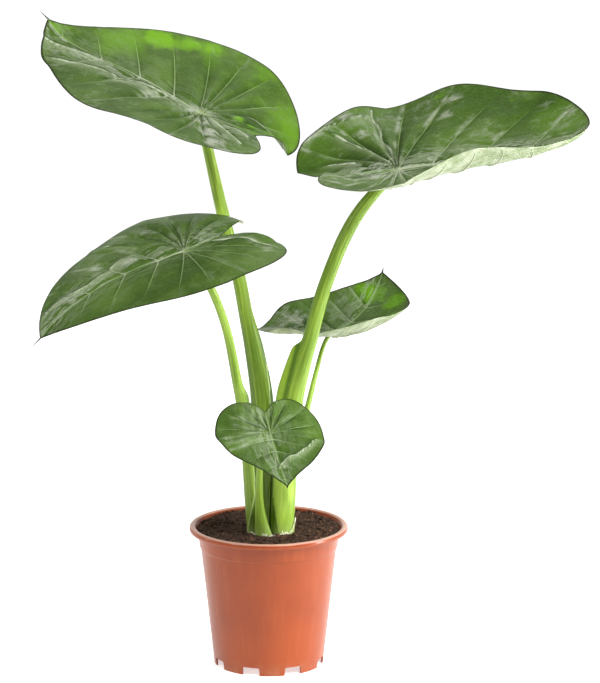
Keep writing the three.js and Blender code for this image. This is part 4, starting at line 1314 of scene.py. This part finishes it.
def smooth_path(stations, steps=16):
    """Stations in between, on a curve through the given ones, and how wide the stalk is there."""
    rows = np.array([(*station, 0, 0)[:7] for station in stations], float)
    at, sizes = rows[:, :3], rows[:, 3:]
    at = np.vstack([2 * at[0] - at[1], at, 2 * at[-1] - at[-2]])
    points, widths = [], []
    for k in range(len(stations) - 1):
        p0, p1, p2, p3 = at[k:k + 4]
        d0, d1, d2 = (math.sqrt(np.linalg.norm(b - a)) for a, b in ((p0, p1), (p1, p2), (p2, p3)))
        out = ((p1 - p0) / d0 - (p2 - p0) / (d0 + d1) + (p2 - p1) / d1) * d1
        into = ((p2 - p1) / d1 - (p3 - p1) / (d1 + d2) + (p3 - p2) / d2) * d1
        last = k == len(stations) - 2
        for t in np.arange(steps + last) / steps:
            points.append(p1 + out * t + (3 * (p2 - p1) - 2 * out - into) * t ** 2
                          + (2 * (p1 - p2) + out + into) * t ** 3)
            widths.append(sizes[k] + (sizes[k + 1] - sizes[k]) * t)
    widths = np.array(widths)
    window = np.hanning(13)[1:-1]
    padded = np.pad(widths, ((5, 5), (0, 0)), mode="edge")
    soft = np.stack([np.convolve(padded[:, k], window / window.sum(), "valid")
                     for k in range(4)], 1)
    return np.array(points), soft


print("stalk a follows", len(smooth_path(STALKS["a"])[0]), "points")

# %% Recipe for a stalk
def stalk_recipe():
    make = Recipe("stalk along a path", Sides=44, Rings=170, Ribbing=0.035, WingPower=5.0)
    path = make.geo("MeshToCurve", {0: make.given()})
    rings, sides = make.given("Rings"), make.given("Sides")
    grid, up, around = make.grid(rings + 1, sides + 1)
    ring, turn = up * rings, around * (2 * math.pi)
    along = make.node("ShaderNodeClamp", None, {"Value": (ring - 1) / (rings - 2)})
    inside = (ring > 0.5) * (ring < (rings - 0.5))
    cosine, sine = turn.cosine(), turn.sine()

    def on_path(value):
        return make.geo("SampleCurve", {0: path, 1: make.mark(value), "Factor": along},
                        mode="FACTOR", use_all_curves=False)

    half_across, half_deep, left, right = map(on_path, SIZES)
    centre, forward = half_across.output("Position"), half_across.output("Tangent")
    lean = make.vector_maths("DOT_PRODUCT", forward, (1, 0, 0), output="Value")
    across = make.vector_maths("SUBTRACT", (1, 0, 0), make.scaled(forward, lean))
    across = make.vector_maths("NORMALIZE", across)
    back = make.vector_maths("CROSS_PRODUCT", forward, across)
    wing = left + (right - left) * (cosine > 0)
    flute = make.noise(make.vector(cosine * 2.2, sine * 2.2, along * 3), 1.6, 3, 0.6)
    flute = 1 + (flute - 0.5) * make.given("Ribbing") * 2
    fin = cosine.size() ** make.given("WingPower")
    sideways = cosine * (half_across * flute + wing * fin) * inside
    depth = sine * half_deep * flute * inside
    place = make.vector_maths("ADD", centre, make.scaled(across, sideways))
    place = make.vector_maths("ADD", place, make.scaled(back, depth))

    length = make.geo("CurveLength", {0: path})
    skin = make.vector(cosine * 0.01, sine * 0.01, along * length)
    body = make.store(grid, "skin", skin, "FLOAT_VECTOR")
    body = make.store(body, "wing", fin * wing * 1000)
    body = make.store(body, "tone", on_path("tone"))
    body = make.welded(make.geo("SetPosition", {0: body, 2: place}))
    return make.finish(make.geo("SetShadeSmooth", {0: body}))


stalking = stalk_recipe()

# %% [markdown]
# The stalk's skin is a bright, slightly waxy yellow green, with long pale and dark streaks that
# follow its length, a paler foot, and wings that are dark where they start and pale where they
# are thinnest. The recipe kept a place on the rolled-out skin at every point before it bent the
# grid, so the streaks bend with the stalk.

# %% Stalk skin
def stalk_skin():
    make = Finish("stalk_skin")
    skin = make.attribute("skin", "Vector")
    wing, tone, seam = map(make.attribute, ("wing", "tone", "seam"))
    height = make.split(make.place()).output("Z")
    streaks = make.noise(make.stretched(skin, (1, 1, 0.03)), 420, 3, 0.6)
    long_tone = make.noise(make.stretched(skin, (1, 1, 0.16)), 90, 3)
    specks = make.noise(make.stretched(skin, (1, 1, 0.35)), 900, 2)
    within = seam * -1
    paint = make.painted(
        "#3d5610",
        # tone: painted light and shade along the stalk
        (tone, "#a8c94b"),
        (long_tone.eased(0.42, 0.6) * 0.5, "#4f6f12"),
        (streaks.eased(0.5, 0.7) * 0.4, "#a6c14a"),
        ((1 - streaks).eased(0.52, 0.7) * 0.45, "#39550f"),
        (wing.eased(0.6, 3.5) * 0.7, "#3a5a0f"),
        (wing.eased(4.5, 7.5) * 0.8, "#8dab35"),
        # painted shade in the strip beside the sheath's edge
        (within.eased(-0.5, 0.6) * (1 - within.eased(5.0, 16.0)) * 0.65, "#34500f"),
        ((1 - (seam - 0.7).size().eased(0.4, 1.2)) * 0.6, "#b5cb7c"),
        ((1 - height.eased(0.163, 0.185)) * 0.25, "#b9c982"),
        (specks.eased(0.62, 0.8) * 0.2, "#c7dc93"))
    relief = make.bump(streaks * 0.7 + specks * 0.3, 0.0005, 0.5)
    return make.surface(paint, 0.36 + specks * 0.16, relief, 0.15,
                        Coat_Weight=0.2, Coat_Roughness=0.22)


stalk_finish = stalk_skin()

# %% [markdown]
# The lower part of a stalk is a sheath that is wrapped round the younger stalks, and its edge runs
# up the stalk as a slanting line: a thin pale rim, with a shaded strip beside it. That line is
# given by heights and angles round the stalk. Points on its outer side are pushed out by a
# millimetre, and every point keeps its distance from the line for the finish. At its top, a stalk
# ends exactly at the blade, which a ray along the stalk finds.

# %% Seats and seams
REACH, PROBE, SUNK = 0.022, 0.03, 0.0002


def seat_on_blade(stalk, name, end, direction):
    """Ends a stalk just inside the underside of its blade, whichever way the blade leans."""
    sheet = SHEETS[name]
    blade = BVHTree.FromPolygons([Vector(p) * MM for p in sheet["points"]], sheet["faces"])
    for vertex in stalk.data.vertices:
        if (vertex.co - end).length > REACH:
            continue
        hit = blade.ray_cast(vertex.co - direction * PROBE, direction, 2 * PROBE)[0]
        if hit is not None and (vertex.co - hit).dot(direction) > -SUNK:
            vertex.co = hit - direction * SUNK


LIP, FADING, NO_SEAM = 1.1, 25, 100.0
SEAMS = {"a": (-1, (160, -75), (250, -50), (385, -8)),
         "b": (1, (160, -100), (212, -150), (330, -180)),
         "c": (-1, (160, -165), (185, -110), (212, -55), (333, -10))}


def fold_sheath(stalk, name, points):
    """Lets the edge of a sheath stand up along a line that climbs round the stalk."""
    data = stalk.data
    skin, place = np.empty(3 * len(data.vertices)), np.empty(3 * len(data.vertices))
    data.attributes["skin"].data.foreach_get("vector", skin)
    data.vertices.foreach_get("co", place)
    skin, place = skin.reshape(-1, 3), place.reshape(-1, 3) / MM
    gap = np.full(len(place), NO_SEAM)
    if name in SEAMS:
        outer, *line = SEAMS[name]
        height = place[:, 2]
        axis = np.stack([np.interp(height, points[:, 2], points[:, k]) for k in (0, 1)], -1)
        out = place[:, :2] - axis
        radius = np.linalg.norm(out, axis=1)
        seam = np.radians(np.interp(height, *zip(*line)))
        turn = np.arctan2(skin[:, 1], skin[:, 0]) - seam
        turn = outer * ((turn + math.pi) % (2 * math.pi) - math.pi)
        fading = np.clip((line[-1][0] - height) / FADING, 0, 1) * (radius > 1)
        gap = np.where(fading > 0, turn * radius / np.maximum(fading, 0.01), NO_SEAM)
        lip = LIP * fading * np.where(turn > 0, np.exp(-turn * radius / 9), 0)
        place[:, :2] += out / np.maximum(radius, 1)[:, None] * lip[:, None]
        data.vertices.foreach_set("co", (place * MM).ravel())
    data.attributes.new("seam", "FLOAT", "POINT").data.foreach_set("value", gap)


print("seams on the stalks:", ", ".join(SEAMS))

# %% [markdown]
# A stalk is painted paler or darker along its length by a tone, which is given at its foot, below
# and above its middle, and at its top. The tone is painted light and shade: lower where a stalk
# stands in the shade of others or of a leaf, higher where light falls on it.

# %% Stalks
TONES = {"a": (0.3, 0.2, 0.65, 1), "b": (1, 0.4, 0.3, 0.3), "c": (0.3, 0.4, 0.5, 0.75),
         "d": (0.3, 0.35, 0.6, 0.5), "e": (0.5, 0.4, 0.4, 0.3)}


def make_stalk(name, stations):
    """A stalk that is a little wider under its blade, with its sheath and its seat."""
    points, sizes = smooth_path(stations)
    gap = np.linalg.norm(points - points[-1], axis=1)
    sizes[:, :2] *= (1 + 0.4 * np.exp(-gap / 6))[:, None]
    marks = {label: sizes[:, k] * MM for k, label in enumerate(SIZES)}
    share = (points[:, 2] - points[0, 2]) / (points[-1, 2] - points[0, 2])
    marks["tone"] = np.interp(share, (0, 0.45, 0.7, 1), TONES[name])
    edges = [(k, k + 1) for k in range(len(points) - 1)]
    stalk = make_mesh("stem_" + name, points, [], edges=edges, marks=marks)
    stalk = grow(stalk, stalking, stalk_finish)
    fold_sheath(stalk, name, points)
    end, before = Vector(points[-1]) * MM, Vector(points[-6]) * MM
    seat_on_blade(stalk, name, end, (end - before).normalized())
    keep(stalk, "stalk_skin", "stalk_" + name)


for name, stations in STALKS.items():
    make_stalk(name, stations)

# %% [markdown]
# ## The torn sheaths
#
# The stalks grow from a short stem that is buried in the peat. What is left of the oldest leaves
# stands round it: a low, papery collar of torn sheaths, green below, with a pale ragged edge. On
# the right one of them still clings to its stalk higher up.
#
# The collar is thin and irregular, so it is built ring by ring: from a pole under the peat, up the
# outside, over the torn edge, down the inside and back to a pole on the stem. The height of the
# edge and the ruffle of the wall come from noise that is read round the stem, so the ends meet.

# %% Torn edge
CROWN = dict(centre=(2, -8), half_width=27.5, half_depth=25.5, bottom=112.5, seat=157.5, wall=0.9)


def torn_edge(turn):
    """Height of the collar's edge at an angle round the stem."""
    c, s = math.cos(turn), math.sin(turn)
    slow = noise.noise(Vector((2.2 * c, 2.2 * s, 4.0)))
    quick = noise.noise(Vector((9 * c, 9 * s, 1.5)))
    shreds = abs(noise.noise(Vector((24 * c, 24 * s, 7.5))))
    flap = math.exp(-((turn + 0.12) / 0.26) ** 2) + 0.35 * math.exp(-((turn - 0.5) / 0.4) ** 2)
    return 165.6 + 2.2 * slow + 2.4 * quick + 4.5 * shreds + 15 * flap


print("torn edge at the right:", round(torn_edge(0), 1), "mm high")

# %% Sheath surface
def standing_ring(turns, share, inside):
    """Half width, half depth and height of the collar round one ring, part of the way up."""
    c = CROWN
    ring = []
    for turn in turns:
        z = c["seat"] + (torn_edge(turn) - c["seat"]) * share
        rise = z - c["seat"]
        place = Vector((3 * math.cos(turn), 3 * math.sin(turn), z / 14))
        ruffle = 1.3 * noise.noise(place) + 0.5 * noise.noise(place * 4)
        out = ruffle * min(1, rise / 6) + 0.6 * share ** 3
        out += 0.13 * rise * max(0, math.cos(turn))
        out -= c["wall"] * (1 - 0.5 * share) if inside else 0
        ring.append((c["half_width"] + out, c["half_depth"] + out, z))
    return ring


def sheath_surface(sides=300):
    """The collar's points and faces, and how near to the torn edge each point is."""
    c = CROWN
    levels = [(0.45, c["bottom"]), (0.8, 117), (0.96, 128), (1, 142), (1, c["seat"])]
    turns = [2 * math.pi * k / sides - math.pi for k in range(sides)]
    rings = [[(r * c["half_width"], r * c["half_depth"], z)] * sides for r, z in levels]
    shares = np.linspace(0.12, 1, 9)
    rings += [standing_ring(turns, share, False) for share in shares]
    rings += [standing_ring(turns, share, True) for share in shares[::-1]]
    within = (c["half_width"] - c["wall"], c["half_depth"] - c["wall"], c["seat"] + 0.6)
    rings.append([within] * sides)
    cx, cy = c["centre"]
    points = [(cx + w * math.cos(turn), cy + d * math.sin(turn), z)
              for ring in rings for turn, (w, d, z) in zip(turns, ring)]
    points += [(cx, cy, c["bottom"]), (cx, cy, c["seat"] + 0.6)]
    last = (len(rings) - 1) * sides
    faces = []
    for k in range(sides):
        after = (k + 1) % sides
        faces.append((len(points) - 2, after, k))
        faces.append((len(points) - 1, last + k, last + after))
        faces += [(r + k, r + after, r + sides + after, r + sides + k)
                  for r in range(0, last, sides)]
    edge_share = [np.clip((z - c["seat"]) / (torn_edge(turn) - c["seat"]), 0, 1)
                  for ring in rings for turn, (w, d, z) in zip(turns, ring)]
    return points, faces, edge_share + [0, 0]


points, faces, edge_share = sheath_surface()
print("torn sheaths:", len(points), "points")

# %% Sheath finish
def sheath_finish():
    make = Finish("old_sheath")
    place, edge_share = make.place(), make.attribute("edge_share")
    fibres = make.noise(make.stretched(place, (1, 1, 0.12)), 700, 3, 0.6)
    blotch = make.noise(place, 190, 3)
    torn = (edge_share + (blotch - 0.5) * 0.6).eased(0.62, 0.9)
    paint = make.painted(
        "#8ba548",
        (blotch.eased(0.35, 0.65), "#a9bd68"),
        (fibres.eased(0.5, 0.75) * 0.4, "#c9d49c"),
        (torn * 0.85, "#dfe0c4"),
        (torn * fibres.eased(0.55, 0.75) * 0.5, "#94794e"))
    return make.surface(paint, 0.6, make.bump(fibres, 0.0004, 0.6))


collar = make_mesh("torn_sheaths", points, faces, [sheath_finish()], None,
                   {"edge_share": edge_share})
keep(collar, "old_sheath", "crown")

# %% [markdown]
# ## The studio
#
# A catalogue photograph of a plant has a white ground and soft light from many sides, yet its
# leaves aren't washed out. A waxy leaf that is seen at a flat angle mirrors what is behind and
# above it, so an evenly white room would lay a grey veil over it. The room here is white only
# where the camera looks, behind the plant, and a soft grey everywhere else. Five soft boxes do the
# modelling: a large key from the right and above, a fill from the left, two upright strips beside
# the pot for the shine on its wall, and one from behind that lights the leaves' edges.
#
# The floor is a disc that glows a little on top of that light, until it is as white as the
# backdrop, so no edge shows between the two.

# %% Floor and room
FLOOR_RADIUS, FLOOR_SIDES, FLOOR_GLOW = 2600, 96, 0.6
BACKDROP, AROUND = 1.06, 0.34


def studio_floor():
    make = Finish("studio_floor")
    return make.surface(colour("#f4f4f2"), 0.9, specular=0.1,
                        Emission_Color=(1, 1, 1, 1), Emission_Strength=FLOOR_GLOW)


def studio_room(backdrop, around):
    """A room with a white backdrop behind the plant, dimmer overhead and on the other sides."""
    world = bpy.data.worlds.new("studio")
    world.use_nodes = True
    world.node_tree.nodes.clear()
    room = Bench(world.node_tree)
    way = room.split(room.node("ShaderNodeTexCoord", output="Generated"))
    behind = way.output("Y").eased(0.8, 0.93) * (1 - way.output("Z").eased(0.22, 0.5))
    strength = around + behind * (backdrop - around)
    light = room.node("ShaderNodeBackground", None, {"Color": (1, 1, 1, 1), "Strength": strength})
    room.node("ShaderNodeOutputWorld", None, {"Surface": light})
    bpy.context.scene.world = world


turns = [2 * math.pi * k / FLOOR_SIDES for k in range(FLOOR_SIDES)]
ring = [(FLOOR_RADIUS * math.cos(turn), FLOOR_RADIUS * math.sin(turn), 0) for turn in turns]
make_mesh("studio_floor", ring, [list(range(FLOOR_SIDES))], [studio_floor()])
studio_room(BACKDROP, AROUND)
bpy.context.scene.view_settings.view_transform = "Standard"

# %% Soft boxes
def soft_box(name, place, target, width, height, watts):
    """A flat lamp that looks from its place to its target."""
    lamp = bpy.data.lights.new(name, "AREA")
    lamp.shape = "RECTANGLE"
    lamp.size, lamp.size_y, lamp.energy = width, height, watts
    box = bpy.data.objects.new(name, lamp)
    box.location = place
    aim = Vector(target) - Vector(place)
    box.rotation_euler = aim.to_track_quat("-Z", "Y").to_euler()
    bpy.context.collection.objects.link(box)
    print(name, "gives", watts, "W")


soft_box("key_right", (1.5, -2.3, 2.7), (0, 0, 0.5), 1.2, 1.2, 105)
soft_box("side_right", (1.5, -0.3, 0.45), (0, 0, 0.15), 0.4, 1.2, 38)
soft_box("side_left", (-1.5, 0.2, 0.45), (0, 0, 0.15), 0.15, 1.2, 3)
soft_box("fill_left", (-2.2, -1.6, 2.0), (0, 0, 0.4), 0.9, 1.8, 26)
soft_box("back_top", (0.4, 2.0, 2.8), (0, 0, 0.5), 1.6, 1.2, 18)

# %% [markdown]
